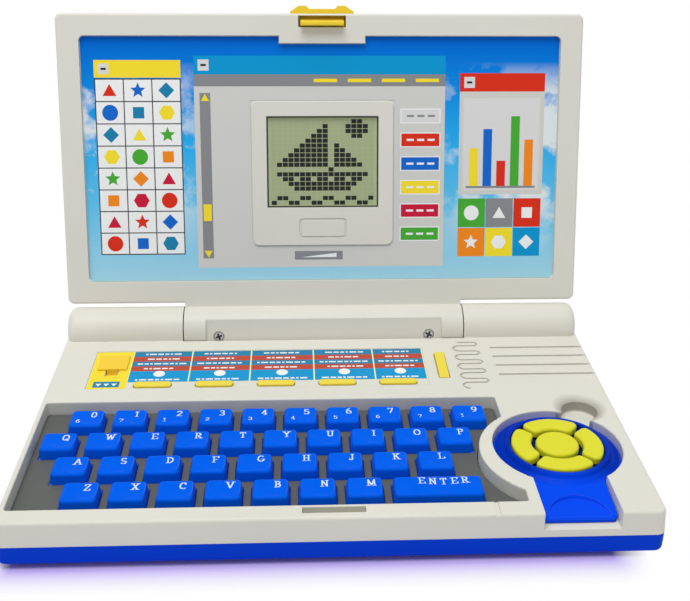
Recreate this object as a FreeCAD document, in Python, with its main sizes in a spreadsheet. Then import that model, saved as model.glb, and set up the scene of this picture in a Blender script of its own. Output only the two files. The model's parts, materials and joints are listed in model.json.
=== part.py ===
"""Toy laptop computer with a folding lid, pressing keys and a lift-out mouse.

Millimetres, +Z up. The origin is under the middle of the base, on the surface it stands on;
+X is to the right of the person who types and +Y points away from them.
"""
import FreeCAD, Part
import math
import os
import re
import Sketcher
from FreeCAD import Placement, Rotation, Vector

# Driving dimensions of the base
SIZES = {
    "base_width": 244.4,
    "base_depth": 158.0,
    "deck_height": 20.0,
    "split_height": 9.9,
    "case_wall": 2.2,
    "case_flare": 0.8,
    "corner_radius": 2.8,
    "rim_round": 1.2,
    "tray_round": 2.0,
    "step_height": 1.6,
    "step_inset": 5.0,
    "fit_gap": 0.3,
    "overcut": 1.0,
    "screw_radius": 1.6,
    "screw_head_radius": 2.6,
    "screw_head_depth": 1.2,
}

# Hinge: a barrel across the back whose middle third belongs to the lid
SIZES.update({
    "barrel_radius": 10.8,
    "barrel_gap": 0.5,
    "shoulder_length": 55.0,
    "hinge_rise": 1.0,
    "pin_radius": 3.0,
    "pin_clearance": 0.06,
    "pin_length": 5.0,
    "shoulder_round": 4.0,
    "shoulder_inset": 0.4,
    "barrel_flat_depth": 1.8,
    "barrel_flat_inset": 10.4,
    "hinge_screw_inset": 16.4,
    "hinge_screw_drop": 2.4,
})

# Keyboard well, its plate and the keys
SIZES.update({
    "well_depth": 6.0,
    "well_rim": 2.2,
    "mouse_zone": 49.7,
    "well_reach": 82.5,
    "well_corner": 1.4,
    "well_round": 0.6,
    "lip_depth": 8.0,
    "plate_thickness": 1.6,
    "key_columns": 10.5,
    "key_rows": 4.331,
    "key_margin": 4.55,
    "key_space": 3.4,
    "row_space": 4.0,
    "enter_space": 0.9,
    "key_height": 4.7,
    "key_side_slope": 0.6,
    "key_back_slope": 0.8,
    "key_front_slope": 0.4,
    "key_round": 1.4,
    "key_corner": 1.8,
    "key_flange": 0.8,
    "key_flange_height": 1.0,
    "key_travel": 1.8,
    "dish_radius": 7.4,
    "dish_curve": 45.0,
    "dish_shift": 2.0,
    "row_lead": 0.587,
    "digit_row_lead": 1.045,
    "top_row_lead": 0.575,
    "home_row_lead": 1.017,
    "low_row_lead": 1.391,
    "dome_radius": 4.0,
    "mat_gap": 2.1,
    "mat_thickness": 0.6,
    "board_thickness": 1.6,
    "board_margin": 3.0,
})

# Mouse pocket, mouse and its pad of five buttons
SIZES.update({
    "mouse_inset": 30.9,
    "mouse_setback": 44.4,
    "mouse_radius": 25.4,
    "mouse_gap": 0.5,
    "pocket_depth": 7.2,
    "ring_shift": 3.7,
    "ring_radius": 31.9,
    "tail_width": 27.8,
    "tail_front": 3.2,
    "tail_height": 2.6,
    "tail_rise": 1.9,
    "tail_corner": 1.6,
    "mouse_edge_height": 3.4,
    "mouse_rim_radius": 20.6,
    "mouse_rim_rise": 0.1,
    "mouse_slope_width": 1.0,
    "mouse_slope_height": 1.6,
    "mouse_top_round": 1.0,
    "pad_well_radius": 18.9,
    "pad_well_depth": 3.6,
    "pad_outer_radius": 18.4,
    "pad_inner_radius": 10.4,
    "pad_half_angle": 41.5,
    "pad_centre_radius": 8.6,
    "pad_rise": 1.0,
    "pad_travel": 1.0,
    "pad_round": 1.2,
    "pad_corner": 2.4,
    "pad_stem_radius": 2.0,
    "pad_stem_length": 2.4,
    "stem_clearance": 0.08,
    "thumb_radius": 12.6,
    "thumb_depth": 0.6,
    "thumb_slope": 1.2,
    "scoop_shift_x": 16.3,
    "scoop_shift_y": 28.4,
    "scoop_radius": 11.6,
    "scoop_floor_radius": 7.6,
    "scoop_depth": 7.0,
    "scoop_bevel": 2.2,
    "scoop_channel": 13.0,
})

# Buttons, switches and mouldings of the deck
SIZES.update({
    "card_left": 16.4,
    "card_right": 76.6,
    "card_front": 10.7,
    "card_rear": 9.9,
    "card_recess": 0.4,
    "mode_count": 5,
    "mode_lead": 28.9,
    "mode_end": 13.7,
    "mode_inset": 3.3,
    "mode_width": 16.4,
    "mode_depth": 4.2,
    "mode_rise": 0.6,
    "mode_travel": 1.0,
    "button_flange": 0.9,
    "button_flange_height": 1.0,
    "button_round": 0.5,
    "button_corner": 1.5,
    "power_corner": 0.6,
    "button_post_radius": 1.4,
    "switch_size": 6.0,
    "switch_height": 1.3,
    "power_offset": 7.4,
    "power_width": 4.6,
    "power_share": 0.645,
    "power_rise": 1.2,
    "power_slope": 0.8,
    "power_travel": 1.2,
    "selector_offset": 9.4,
    "selector_inset": 5.1,
    "selector_width": 13.2,
    "selector_depth": 12.4,
    "selector_rise": 0.8,
    "selector_travel": 4.4,
    "selector_stem_width": 5.2,
    "selector_stem_depth": 6.0,
    "selector_foot": 1.6,
    "groove_length": 44.3,
    "groove_inset": 0.6,
    "groove_end": 8.3,
    "groove_count": 4,
    "groove_width": 1.5,
    "groove_depth": 0.6,
    "wave_offset": 15.0,
    "wave_width": 11.6,
    "wave_lead": 6.6,
    "wave_end": 7.15,
    "wave_count": 5,
    "wave_turn": 1.7,
    "wave_line": 1.0,
    "lip_mark_inset": 12.5,
})

# Battery bay, speaker and the underside
SIZES.update({
    "bay_inset": 35.0,
    "bay_length": 51.0,
    "bay_clearance": 0.8,
    "bay_ledge": 2.0,
    "bay_wall": 1.4,
    "door_thickness": 2.0,
    "door_round": 2.0,
    "grip_length": 14.0,
    "grip_pitch": 3.0,
    "grip_count": 4,
    "speaker_inset": 48.2,
    "speaker_radius": 13.0,
    "speaker_height": 5.6,
    "speaker_cone_radius": 8.0,
    "sound_slot_length": 22.0,
    "sound_slot_width": 1.8,
    "sound_slot_pitch": 4.0,
    "sound_slot_count": 5,
    "boss_radius": 3.4,
    "boss_inset": 8.6,
    "post_radius": 2.4,
    "post_spread_x": 60.0,
    "post_spread_y": 24.0,
})

# Lid, its picture recess and display
SIZES.update({
    "open_angle": 105.7,
    "lid_overhang": 0.3,
    "lid_gap": 0.5,
    "lid_root": 12.6,
    "lid_thickness": 12.0,
    "bezel_thickness": 6.0,
    "lid_wall": 2.0,
    "lid_corner": 3.0,
    "lid_round": 1.2,
    "back_round": 3.6,
    "picture_side": 10.4,
    "picture_low": 10.5,
    "picture_high": 10.0,
    "picture_depth": 2.0,
    "picture_corner": 2.6,
    "latch_land_width": 40.0,
    "latch_land_depth": 3.4,
    "display_width": 67.2,
    "display_low": 27.4,
    "display_high": 95.8,
    "display_rise": 1.0,
    "display_corner": 3.0,
    "window_width": 53.0,
    "window_low": 45.6,
    "window_high": 88.6,
    "glass_depth": 1.6,
    "glass_flange": 2.5,
    "adjust_width": 22.6,
    "adjust_low": 30.9,
    "adjust_high": 40.4,
    "adjust_groove": 0.9,
    "adjust_depth": 0.4,
    "adjust_corner": 2.0,
})

# Latch that slides in the top of the lid
SIZES.update({
    "latch_width": 29.4,
    "latch_foot": 1.0,
    "latch_top_width": 21.6,
    "latch_valley_width": 12.0,
    "latch_height": 3.6,
    "latch_valley": 1.4,
    "latch_grip_depth": 5.6,
    "latch_cover": 1.8,
    "latch_plate": 2.6,
    "latch_plate_length": 12.0,
    "latch_travel": 1.0,
    "hook_width": 20.0,
    "hook_block": 3.6,
    "hook_base": 5.9,
    "hook_thickness": 1.7,
    "hook_reach": 4.0,
    "hook_barb": 0.8,
    "hook_barb_height": 1.4,
    "hook_taper": 0.4,
    "window_frame": 1.0,
    "catch_width": 23.4,
    "catch_wall": 3.0,
    "catch_slot": 3.4,
    "catch_ledge": 1.6,
    "catch_undercut": 1.2,
})

# Places that follow from the driving dimensions
HALF_WIDTH = "(base_width / 2)"
FRONT = "(-base_depth / 2)"
REAR = "(base_depth / 2)"
HINGE_Y = f"({REAR} + case_flare - barrel_radius)"
HINGE_Z = "(deck_height + hinge_rise)"
TROUGH_HALF = f"({HALF_WIDTH} - shoulder_length)"
BARREL_HALF = f"({TROUGH_HALF} - barrel_gap)"
TROUGH_FLOOR_Y = f"({HINGE_Y} - barrel_radius / 2)"
SILL_TOP = f"({HINGE_Z} - barrel_radius - fit_gap)"
DECK_UNDER = "(deck_height - case_wall)"

WELL_LEFT = f"(-{HALF_WIDTH} + well_rim)"
WELL_RIGHT = f"({HALF_WIDTH} - mouse_zone)"
WELL_FRONT = f"({FRONT} + lip_depth)"
WELL_REAR = f"({FRONT} + well_reach)"
KEY_PITCH = f"(({WELL_RIGHT} - {WELL_LEFT} - key_margin) / key_columns)"
ROW_PITCH = f"(({WELL_REAR} - {WELL_FRONT}) / key_rows)"
KEY_WIDTH = f"({KEY_PITCH} - key_space)"
KEY_DEPTH = f"({ROW_PITCH} - row_space)"
ENTER_WIDTH = f"(2 * {KEY_PITCH} - enter_space)"
PLATE_TOP = "(deck_height - well_depth)"
PLATE_UNDER = f"({PLATE_TOP} - plate_thickness)"
FLANGE_LOW = f"({PLATE_UNDER} - fit_gap - key_flange_height)"
DOME_TOP = f"({FLANGE_LOW} - key_travel - fit_gap)"
MAT_TOP = "(split_height - mat_gap)"
BOARD_TOP = f"({MAT_TOP} - mat_thickness)"
BOARD_LOW = f"({BOARD_TOP} - board_thickness)"
BOARD_LEFT = f"({WELL_LEFT} + board_margin + boss_radius)"
BOARD_RIGHT = f"({WELL_RIGHT} - 2 * board_margin)"
BOARD_FRONT = f"({FRONT} + boss_inset + boss_radius + fit_gap)"
BOARD_X = f"(({BOARD_LEFT} + {BOARD_RIGHT}) / 2)"
BOARD_Y = f"(({BOARD_FRONT} + {WELL_REAR}) / 2)"

MOUSE_X = f"({HALF_WIDTH} - mouse_inset)"
MOUSE_Y = f"({FRONT} + mouse_setback)"
RING_Y = f"({MOUSE_Y} - ring_shift)"
SCOOP_X = f"({MOUSE_X} + scoop_shift_x)"
SCOOP_Y = f"({MOUSE_Y} + scoop_shift_y)"
SCOOP_REACH = "sqrt(scoop_shift_x ^ 2 + scoop_shift_y ^ 2)"
MOUSE_LOW = "(deck_height - pocket_depth + fit_gap)"
RIM_TOP = "(deck_height + mouse_rim_rise)"
PAD_FLOOR = f"({RIM_TOP} - pad_well_depth)"
PAD_LOW = f"({PAD_FLOOR} + pad_travel + fit_gap)"
PAD_TOP = "(deck_height + pad_rise)"
PAD_REACH = "((pad_outer_radius + pad_inner_radius) / 2)"

CARD_LEFT = f"(-{HALF_WIDTH} + card_left)"
CARD_RIGHT = f"({HALF_WIDTH} - card_right)"
CARD_FRONT = f"({WELL_REAR} + card_front)"
CARD_REAR = f"({HINGE_Y} - barrel_radius - card_rear)"
CARD_DEPTH = f"({CARD_REAR} - {CARD_FRONT})"
MODE_FIRST = f"({CARD_LEFT} + mode_lead)"
MODE_PITCH = f"(({CARD_RIGHT} - {CARD_LEFT} - mode_lead - mode_end) / (mode_count - 1))"
MODE_Y = f"({CARD_FRONT} + mode_inset)"
POWER_X = f"({CARD_RIGHT} + power_offset)"
POWER_Y = f"(({CARD_FRONT} + {CARD_REAR}) / 2)"
POWER_DEPTH = f"({CARD_DEPTH} * power_share)"
POWER_POST_Y = f"({POWER_Y} - {POWER_DEPTH} / 4)"
TONGUE_RIGHT = f"({POWER_X} + switch_size / 2)"
TONGUE_REAR = f"({POWER_POST_Y} + switch_size / 2)"
SELECTOR_X = f"({CARD_LEFT} + selector_offset)"
SELECTOR_REAR = f"({CARD_REAR} - selector_inset)"
SELECTOR_FRONT = f"({SELECTOR_REAR} - selector_depth)"
BUTTON_FLANGE_TOP = f"({DECK_UNDER} - fit_gap)"
BUTTON_FLANGE_LOW = f"({BUTTON_FLANGE_TOP} - button_flange_height)"
GROOVE_Y = f"({CARD_REAR} - groove_inset)"
GROOVE_PITCH = f"(({CARD_DEPTH} - groove_inset - groove_end) / (groove_count - 1))"
WAVE_LEFT = f"({CARD_RIGHT} + wave_offset)"
WAVE_RIGHT = f"({WAVE_LEFT} + wave_width)"
WAVE_Y = f"({HINGE_Y} - barrel_radius - wave_lead)"
WAVE_PITCH = f"(({WAVE_Y} + wave_turn - {WELL_REAR} - wave_end) / wave_count)"

CAVITY_FRONT = f"({SCOOP_Y} + scoop_radius + case_wall)"
CAVITY_REAR = f"({HINGE_Y} - barrel_radius - barrel_gap - case_wall)"
BAY_X = f"({HALF_WIDTH} - bay_inset)"
BAY_Y = f"(({CAVITY_FRONT} + {CAVITY_REAR}) / 2)"
BAY_WIDTH = f"({CAVITY_REAR} - {CAVITY_FRONT} - 2 * (bay_wall + bay_ledge + bay_clearance))"
BAY_ROOF = f"({DECK_UNDER} - bay_clearance)"
BAY_HEIGHT = f"({BAY_ROOF} - bay_wall)"
SPEAKER_X = f"(-{HALF_WIDTH} + speaker_inset)"
SPEAKER_Y = f"({TONGUE_REAR} + board_margin + speaker_radius)"

# The lid is drawn lying flat: its own Y runs from the hinge axis to the top edge, its Z out of the screen
LID_HALF = f"({HALF_WIDTH} + lid_overhang)"
LID_TOP = "(base_depth + case_flare - barrel_radius)"
LID_FACE = "(hinge_rise - lid_gap)"
LID_SPLIT = f"({LID_FACE} - bezel_thickness)"
LID_BACK = f"({LID_FACE} - lid_thickness)"
PICTURE_FLOOR = f"({LID_FACE} - picture_depth)"
BEZEL_UNDER = f"({PICTURE_FLOOR} - lid_wall)"
DISPLAY_FACE = f"({PICTURE_FLOOR} + display_rise)"
HOOK_LOW = f"({LID_TOP} - hook_base)"
GRIP_FRONT = f"({LID_FACE} - latch_cover)"
LATCH_TOP = f"({BEZEL_UNDER} - fit_gap)"

# Rows of keys: the share of a pitch that leads up to the first key, and the letters on them
KEY_ROWS = [
    ("digit_row_lead", "0123456789"),
    ("top_row_lead", "qwertyuiop"),
    ("home_row_lead", "asdfghjkl"),
    ("low_row_lead", "zxcvbnm"),
]

doc = FreeCAD.newDocument("ToyLaptop")
sheet = doc.addObject("Spreadsheet::Sheet", "Sizes")
for row, (name, value) in enumerate(SIZES.items(), start=1):
    sheet.set(f"A{row}", name)
    sheet.set(f"B{row}", str(value))
    sheet.setAlias(f"B{row}", name)
doc.recompute()

sub_parts = []
mode_count = int(SIZES["mode_count"])


def sized(text):
    """Return an expression with each size's name pointing at its cell."""
    return re.sub(r"[a-z_]+", lambda word: "Sizes." * (word[0] in SIZES) + word[0], text)


def value_of(text):
    """Work an expression out from the sheet."""
    return float(sheet.evalExpression(sized(text)))


def bind(thing, prop, text):
    """Tie a property to an expression of the sheet's sizes."""
    thing.setExpression(prop, sized(text))


def keep(thing, label):
    """Name a finished sub-part and list it for writing."""
    thing.Label = label
    sub_parts.append(thing)
    return thing


# Sketch helpers
def new_body(label):
    return keep(doc.addObject("PartDesign::Body", label), label)


def origin_plane(body, role):
    return next(feature for feature in body.Origin.OriginFeatures if feature.Role == role)


def sketch_on(body, name, role="XY_Plane", offset=None):
    """Start a sketch on one of the body's own planes, moved along its normal by an expression."""
    sketch = body.newObject("Sketcher::SketchObject", name)
    sketch.AttachmentSupport = [(origin_plane(body, role), "")]
    sketch.MapMode = "FlatFace"
    if offset is not None:
        bind(sketch, "AttachmentOffset.Base.z", offset)
    return sketch


def dimension(sketch, kind, text, *where):
    """Add one dimension and tie it to an expression."""
    index = sketch.addConstraint(Sketcher.Constraint(kind, *where, value_of(text)))
    bind(sketch, f"Constraints[{index}]", text)


def place_point(sketch, edge, end, x, y):
    """Fix an edge's point at a distance from the sketch's origin."""
    dimension(sketch, "DistanceX", x, -1, 1, edge, end)
    dimension(sketch, "DistanceY", y, -1, 1, edge, end)


def polygon(sketch, points):
    """Closed outline of straight edges through points given as pairs of expressions."""
    corners = [Vector(value_of(x), value_of(y), 0) for x, y in points]
    edges = []
    for start, end in zip(corners, corners[1:] + corners[:1]):
        edges.append(sketch.addGeometry(Part.LineSegment(start, end), False))
    for edge, following in zip(edges, edges[1:] + edges[:1]):
        sketch.addConstraint(Sketcher.Constraint("Coincident", edge, 2, following, 1))
    for edge, (x, y) in zip(edges, points):
        place_point(sketch, edge, 1, x, y)
    return edges


def rectangle(sketch, left, right, low, high):
    return polygon(sketch, [(left, low), (right, low), (right, high), (left, high)])


def circle(sketch, x, y, radius):
    whole = Part.Circle(Vector(value_of(x), value_of(y), 0), Vector(0, 0, 1), value_of(radius))
    edge = sketch.addGeometry(whole, False)
    dimension(sketch, "Radius", radius, edge)
    place_point(sketch, edge, 3, x, y)


def rounded(sketch, left, right, low, high, radius):
    """Rectangle with four equal round corners."""
    x0, x1, y0, y1, r = (value_of(text) for text in (left, right, low, high, radius))
    ends = [((x0 + r, y0), (x1 - r, y0)), ((x1, y0 + r), (x1, y1 - r)),
            ((x1 - r, y1), (x0 + r, y1)), ((x0, y1 - r), (x0, y0 + r))]
    centres = [(x1 - r, y0 + r), (x1 - r, y1 - r), (x0 + r, y1 - r), (x0 + r, y0 + r)]
    lines = [sketch.addGeometry(Part.LineSegment(Vector(*a, 0), Vector(*b, 0)), False) for a, b in ends]
    arcs = []
    for turn, centre in enumerate(centres):
        start = math.radians(90 * (turn - 1))
        whole = Part.Circle(Vector(*centre, 0), Vector(0, 0, 1), r)
        arcs.append(sketch.addGeometry(Part.ArcOfCircle(whole, start, start + math.pi / 2), False))
    for turn in range(4):
        direction = "Horizontal" if turn % 2 == 0 else "Vertical"
        sketch.addConstraint(Sketcher.Constraint(direction, lines[turn]))
        sketch.addConstraint(Sketcher.Constraint("Tangent", lines[turn], 2, arcs[turn], 1))
        sketch.addConstraint(Sketcher.Constraint("Tangent", arcs[turn], 2, lines[(turn + 1) % 4], 1))
    for turn in range(1, 4):
        sketch.addConstraint(Sketcher.Constraint("Equal", arcs[0], arcs[turn]))
    dimension(sketch, "Radius", radius, arcs[0])
    dimension(sketch, "DistanceY", low, -1, 1, lines[0], 1)
    dimension(sketch, "DistanceX", right, -1, 1, lines[1], 1)
    dimension(sketch, "DistanceY", high, -1, 1, lines[2], 1)
    dimension(sketch, "DistanceX", left, -1, 1, lines[3], 1)


def arc_and_lines(sketch, centre, radius, start, end, points=(), smooth_start=False, smooth_end=False):
    """Closed outline: an arc turning from angle start to end, then straight edges back through points.

    A smooth end runs on into its straight edge without a corner.
    """
    x, y = (value_of(text) for text in centre)
    first, last = (math.radians(value_of(text)) for text in (start, end))
    whole = Part.Circle(Vector(x, y, 0), Vector(0, 0, 1), value_of(radius))
    curve = Part.ArcOfCircle(whole, first, last)
    arc = sketch.addGeometry(curve, False)
    stops = [curve.EndPoint] + [Vector(value_of(a), value_of(b), 0) for a, b in points] + [curve.StartPoint]
    lines = [sketch.addGeometry(Part.LineSegment(a, b), False) for a, b in zip(stops, stops[1:])]
    chain = [arc] + lines
    for edge, following in zip(chain, chain[1:] + chain[:1]):
        smooth = smooth_end if edge == arc else smooth_start and following == arc
        kind = "Tangent" if smooth else "Coincident"
        sketch.addConstraint(Sketcher.Constraint(kind, edge, 2, following, 1))
    dimension(sketch, "Radius", radius, arc)
    place_point(sketch, arc, 3, *centre)
    for edge, (a, b) in zip(lines[1:], points):
        place_point(sketch, edge, 1, a, b)
    return arc, lines


# Feature helpers
def pad(body, sketch, length, reverse=False, both=False, taper=None):
    feature = body.newObject("PartDesign::Pad", sketch.Name + "Pad")
    feature.Profile = sketch
    feature.Reversed = reverse
    feature.SideType = "Symmetric" if both else "One side"
    bind(feature, "Length", length)
    if taper is not None:
        bind(feature, "TaperAngle", taper)
    return feature


def pocket(body, sketch, depth, reverse=False, both=False):
    feature = body.newObject("PartDesign::Pocket", sketch.Name + "Pocket")
    feature.Profile = sketch
    feature.Reversed = reverse
    feature.SideType = "Symmetric" if both else "One side"
    bind(feature, "Length", depth)
    return feature


def row_of(body, feature, axis, spacing, count, reverse=False):
    """Repeat a feature along one of the body's axes."""
    pattern = body.newObject("PartDesign::LinearPattern", feature.Name + "Row")
    pattern.Originals = [feature]
    pattern.Direction = (origin_plane(body, axis), [""])
    pattern.Reversed = reverse
    bind(pattern, "Length", f"({spacing}) * ({count} - 1)")
    bind(pattern, "Occurrences", count)
    body.Tip = pattern
    return pattern


def round_edges(body, feature, radius, wanted):
    """Fillet the edges of a feature that a test picks out."""
    doc.recompute()
    names = [f"Edge{number}" for number, edge in enumerate(feature.Shape.Edges, start=1) if wanted(edge)]
    fillet = body.newObject("PartDesign::Fillet", feature.Name + "Round")
    fillet.Base = (feature, names)
    bind(fillet, "Radius", radius)
    return fillet


def at_height(height):
    """Test for edges that lie wholly at one height."""
    level = value_of(height)
    return lambda edge: abs(edge.BoundBox.ZMin - level) < 1e-4 and abs(edge.BoundBox.ZMax - level) < 1e-4


def upright(edge):
    """Test for straight edges along Z."""
    return edge.BoundBox.XLength + edge.BoundBox.YLength < 1e-4


def stand_on_hinge(thing):
    """Place a piece drawn flat in the lid's own frame onto the open lid."""
    thing.Placement = Placement(Vector(0, 0, 0), Rotation(Vector(1, 0, 0), 180 - value_of("open_angle")))
    bind(thing, "Placement.Base.y", HINGE_Y)
    bind(thing, "Placement.Base.z", HINGE_Z)
    bind(thing, "Placement.Rotation.Angle", "180 - open_angle")
    return thing


# Top case of the base: deck, keyboard well, mouse pocket and the two hinge shoulders
def base_top_case():
    body = new_body("base_top_case")
    outline = sketch_on(body, "DeckOutline", offset="split_height")
    rounded(outline, f"-{HALF_WIDTH} - case_flare", f"{HALF_WIDTH} + case_flare",
            f"{FRONT} - case_flare", f"{REAR} + case_flare", "corner_radius + case_flare")
    shell = pad(body, outline, "deck_height - split_height",
                taper="-atan(case_flare / (deck_height - split_height))")
    round_edges(body, shell, "rim_round", at_height("deck_height"))

    for side in ("", "-"):
        shoulder = sketch_on(body, "Shoulder" + ("Left" if side else "Right"), offset=HINGE_Z)
        outer = f"{side}({HALF_WIDTH} - shoulder_inset)"
        inner = f"{side}{TROUGH_HALF}"
        rounded_end = f"{side}({HALF_WIDTH} - shoulder_inset - shoulder_round)"
        angles = ("90", "180") if side else ("0", "90")
        corners = [(outer, HINGE_Y), (inner, HINGE_Y), (inner, f"{HINGE_Y} + barrel_radius")]
        if not side:
            corners = [corners[2], corners[1], corners[0]]
        arc, lines = arc_and_lines(shoulder, (rounded_end, f"{HINGE_Y} + barrel_radius - shoulder_round"),
                                   "shoulder_round", *angles, corners, smooth_start=True, smooth_end=True)
        turned = body.newObject("PartDesign::Revolution", shoulder.Name + "Turned")
        turned.Profile = shoulder
        on_axis = lines[1] if side else lines[2]
        turned.ReferenceAxis = (shoulder, [f"Edge{on_axis + 1}"])
        turned.Angle = 360

    trough = sketch_on(body, "HingeTrough", "YZ_Plane")
    circle(trough, HINGE_Y, HINGE_Z, "barrel_radius + barrel_gap")
    pocket(body, trough, f"2 * {TROUGH_HALF}", both=True)
    opening = sketch_on(body, "HingeOpening", "YZ_Plane")
    rectangle(opening, TROUGH_FLOOR_Y, f"{REAR} + barrel_radius", "split_height - overcut",
              f"{HINGE_Z} + 2 * barrel_radius")
    pocket(body, opening, f"2 * {TROUGH_HALF}", both=True)
    bore = sketch_on(body, "PinBore", "YZ_Plane")
    circle(bore, HINGE_Y, HINGE_Z, "pin_radius + pin_clearance")
    pocket(body, bore, f"2 * ({TROUGH_HALF} + pin_length)", both=True)

    cavity = sketch_on(body, "DeckCavity", offset="split_height")
    rectangle(cavity, f"-{HALF_WIDTH} + case_wall", f"{HALF_WIDTH} - case_wall", CAVITY_FRONT, CAVITY_REAR)
    pocket(body, cavity, f"{DECK_UNDER} - split_height", reverse=True)
    for side in ("", "-"):
        near = f"{side}({TROUGH_HALF} + pin_length + 2 * case_wall)"
        far = f"{side}({HALF_WIDTH} - case_wall - shoulder_round)"
        left, right = (far, near) if side else (near, far)
        hollow = sketch_on(body, "ShoulderHollow" + ("Left" if side else "Right"), offset="split_height")
        rectangle(hollow, left, right, f"{CAVITY_REAR} - overcut", f"{REAR} - case_wall")
        pocket(body, hollow, f"{DECK_UNDER} - split_height", reverse=True)

    well = sketch_on(body, "KeyWell", offset="deck_height")
    rounded(well, WELL_LEFT, WELL_RIGHT, WELL_FRONT, WELL_REAR, "well_corner")
    pocket(body, well, "deck_height")
    ring = sketch_on(body, "MouseRing", offset="split_height")
    chord_x = f"({WELL_RIGHT} + overcut)"
    turn = f"acos(({MOUSE_X} - {chord_x}) / ring_radius)"
    arc, lines = arc_and_lines(ring, (MOUSE_X, RING_Y), "ring_radius",
                               f"180 deg - {turn}", f"180 deg + {turn}")
    ring.addConstraint(Sketcher.Constraint("Vertical", lines[0]))
    dimension(ring, "DistanceX", chord_x, -1, 1, lines[0], 1)
    pad(body, ring, "deck_height - split_height")
    round_pocket = sketch_on(body, "MousePocket", offset="deck_height")
    circle(round_pocket, MOUSE_X, MOUSE_Y, "mouse_radius + mouse_gap")
    pocket(body, round_pocket, "pocket_depth")
    tail_slot = sketch_on(body, "TailSlot", offset="deck_height")
    rectangle(tail_slot, f"{MOUSE_X} - tail_width / 2 - mouse_gap", f"{MOUSE_X} + tail_width / 2 + mouse_gap",
              f"{FRONT} - 2 * case_flare", MOUSE_Y)
    pocket(body, tail_slot, "pocket_depth")
    finger_hole = sketch_on(body, "FingerHole", offset="deck_height")
    circle(finger_hole, SCOOP_X, SCOOP_Y, "scoop_floor_radius")
    pocket(body, finger_hole, "scoop_depth")
    channel = sketch_on(body, "FingerChannel", offset="deck_height")
    across_x = f"scoop_channel / 2 * scoop_shift_y / {SCOOP_REACH}"
    across_y = f"scoop_channel / 2 * scoop_shift_x / {SCOOP_REACH}"
    halfway = (f"{MOUSE_X} + scoop_shift_x / 2", f"{MOUSE_Y} + scoop_shift_y / 2")
    polygon(channel, [(f"{SCOOP_X} - {across_x}", f"{SCOOP_Y} + {across_y}"),
                      (f"{halfway[0]} - {across_x}", f"{halfway[1]} + {across_y}"),
                      (f"{halfway[0]} + {across_x}", f"{halfway[1]} - {across_y}"),
                      (f"{SCOOP_X} + {across_x}", f"{SCOOP_Y} - {across_y}")])
    pocket(body, channel, "scoop_depth")
    scoop = body.newObject("PartDesign::SubtractiveCone", "FingerScoop")
    scoop.AttachmentSupport = [(origin_plane(body, "XY_Plane"), "")]
    scoop.MapMode = "FlatFace"
    bind(scoop, "AttachmentOffset.Base.x", SCOOP_X)
    bind(scoop, "AttachmentOffset.Base.y", SCOOP_Y)
    bind(scoop, "AttachmentOffset.Base.z", "deck_height - scoop_bevel")
    bind(scoop, "Radius1", "scoop_floor_radius")
    bind(scoop, "Radius2", "scoop_radius")
    bind(scoop, "Height", "scoop_bevel")
    inner_edge = value_of(f"{HALF_WIDTH} - rim_round") - 1e-3
    front_edge = value_of(f"{FRONT} + rim_round") + 1e-3
    rear_edge = value_of(f"{SCOOP_Y} + scoop_radius") + 1e-3
    on_deck = at_height("deck_height")
    round_edges(body, scoop, "well_round",
                lambda edge: on_deck(edge) and abs(edge.BoundBox.Center.x) < inner_edge
                and edge.BoundBox.YMin > front_edge and edge.BoundBox.YMax < rear_edge)

    card = sketch_on(body, "CardRecess", offset="deck_height")
    rectangle(card, CARD_LEFT, CARD_RIGHT, CARD_FRONT, CARD_REAR)
    pocket(body, card, "card_recess")
    mode = sketch_on(body, "ModeHole", offset="deck_height")
    rounded(mode, *around(MODE_FIRST, "mode_width", MODE_Y, "mode_depth", "fit_gap"),
            "button_corner + fit_gap")
    row_of(body, pocket(body, mode, "2 * case_wall"), "X_Axis", MODE_PITCH, "mode_count")
    power = sketch_on(body, "PowerHole", offset="deck_height")
    rounded(power, *around(POWER_X, "power_width", POWER_Y, POWER_DEPTH, "fit_gap"), "power_corner + fit_gap")
    pocket(body, power, "2 * case_wall")
    selector = sketch_on(body, "SelectorSlot", offset="deck_height")
    rectangle(selector, f"{SELECTOR_X} - selector_stem_width / 2 - fit_gap",
              f"{SELECTOR_X} + selector_stem_width / 2 + fit_gap",
              f"{SELECTOR_FRONT} - selector_travel - fit_gap",
              f"{SELECTOR_FRONT} + selector_stem_depth + fit_gap")
    pocket(body, selector, "2 * case_wall")

    catch = sketch_on(body, "LatchCatch", "YZ_Plane")
    wall_face = f"{FRONT} + catch_wall"
    floor = "deck_height - hook_reach - 2 * fit_gap"
    rear_face = f"{wall_face} + catch_slot"
    polygon(catch, [(wall_face, "deck_height + overcut"), (wall_face, "deck_height - catch_ledge"),
                    (f"{wall_face} - catch_undercut", "deck_height - catch_ledge"),
                    (f"{wall_face} - catch_undercut", floor), (rear_face, floor),
                    (rear_face, "deck_height + overcut")])
    pocket(body, catch, "catch_width", both=True)
    mark = sketch_on(body, "LipMark", offset="deck_height")
    mark_x = f"({WELL_RIGHT} - lip_mark_inset)"
    rectangle(mark, f"{mark_x} - groove_width / 2", f"{mark_x} + groove_width / 2",
              f"{FRONT} - case_flare", f"{WELL_FRONT} + overcut")
    pocket(body, mark, "groove_depth")
    line = sketch_on(body, "DeckGroove", offset="deck_height")
    rectangle(line, f"{HALF_WIDTH} - groove_length", f"{HALF_WIDTH} + case_flare",
              f"{GROOVE_Y} - groove_width / 2", f"{GROOVE_Y} + groove_width / 2")
    row_of(body, pocket(body, line, "groove_depth"), "Y_Axis", GROOVE_PITCH, "groove_count", reverse=True)

    wave = sketch_on(body, "WaveGroove", offset="deck_height")
    wave_band(wave)
    row_of(body, pocket(body, wave, "groove_depth"), "Y_Axis", WAVE_PITCH, "wave_count", reverse=True)


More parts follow.
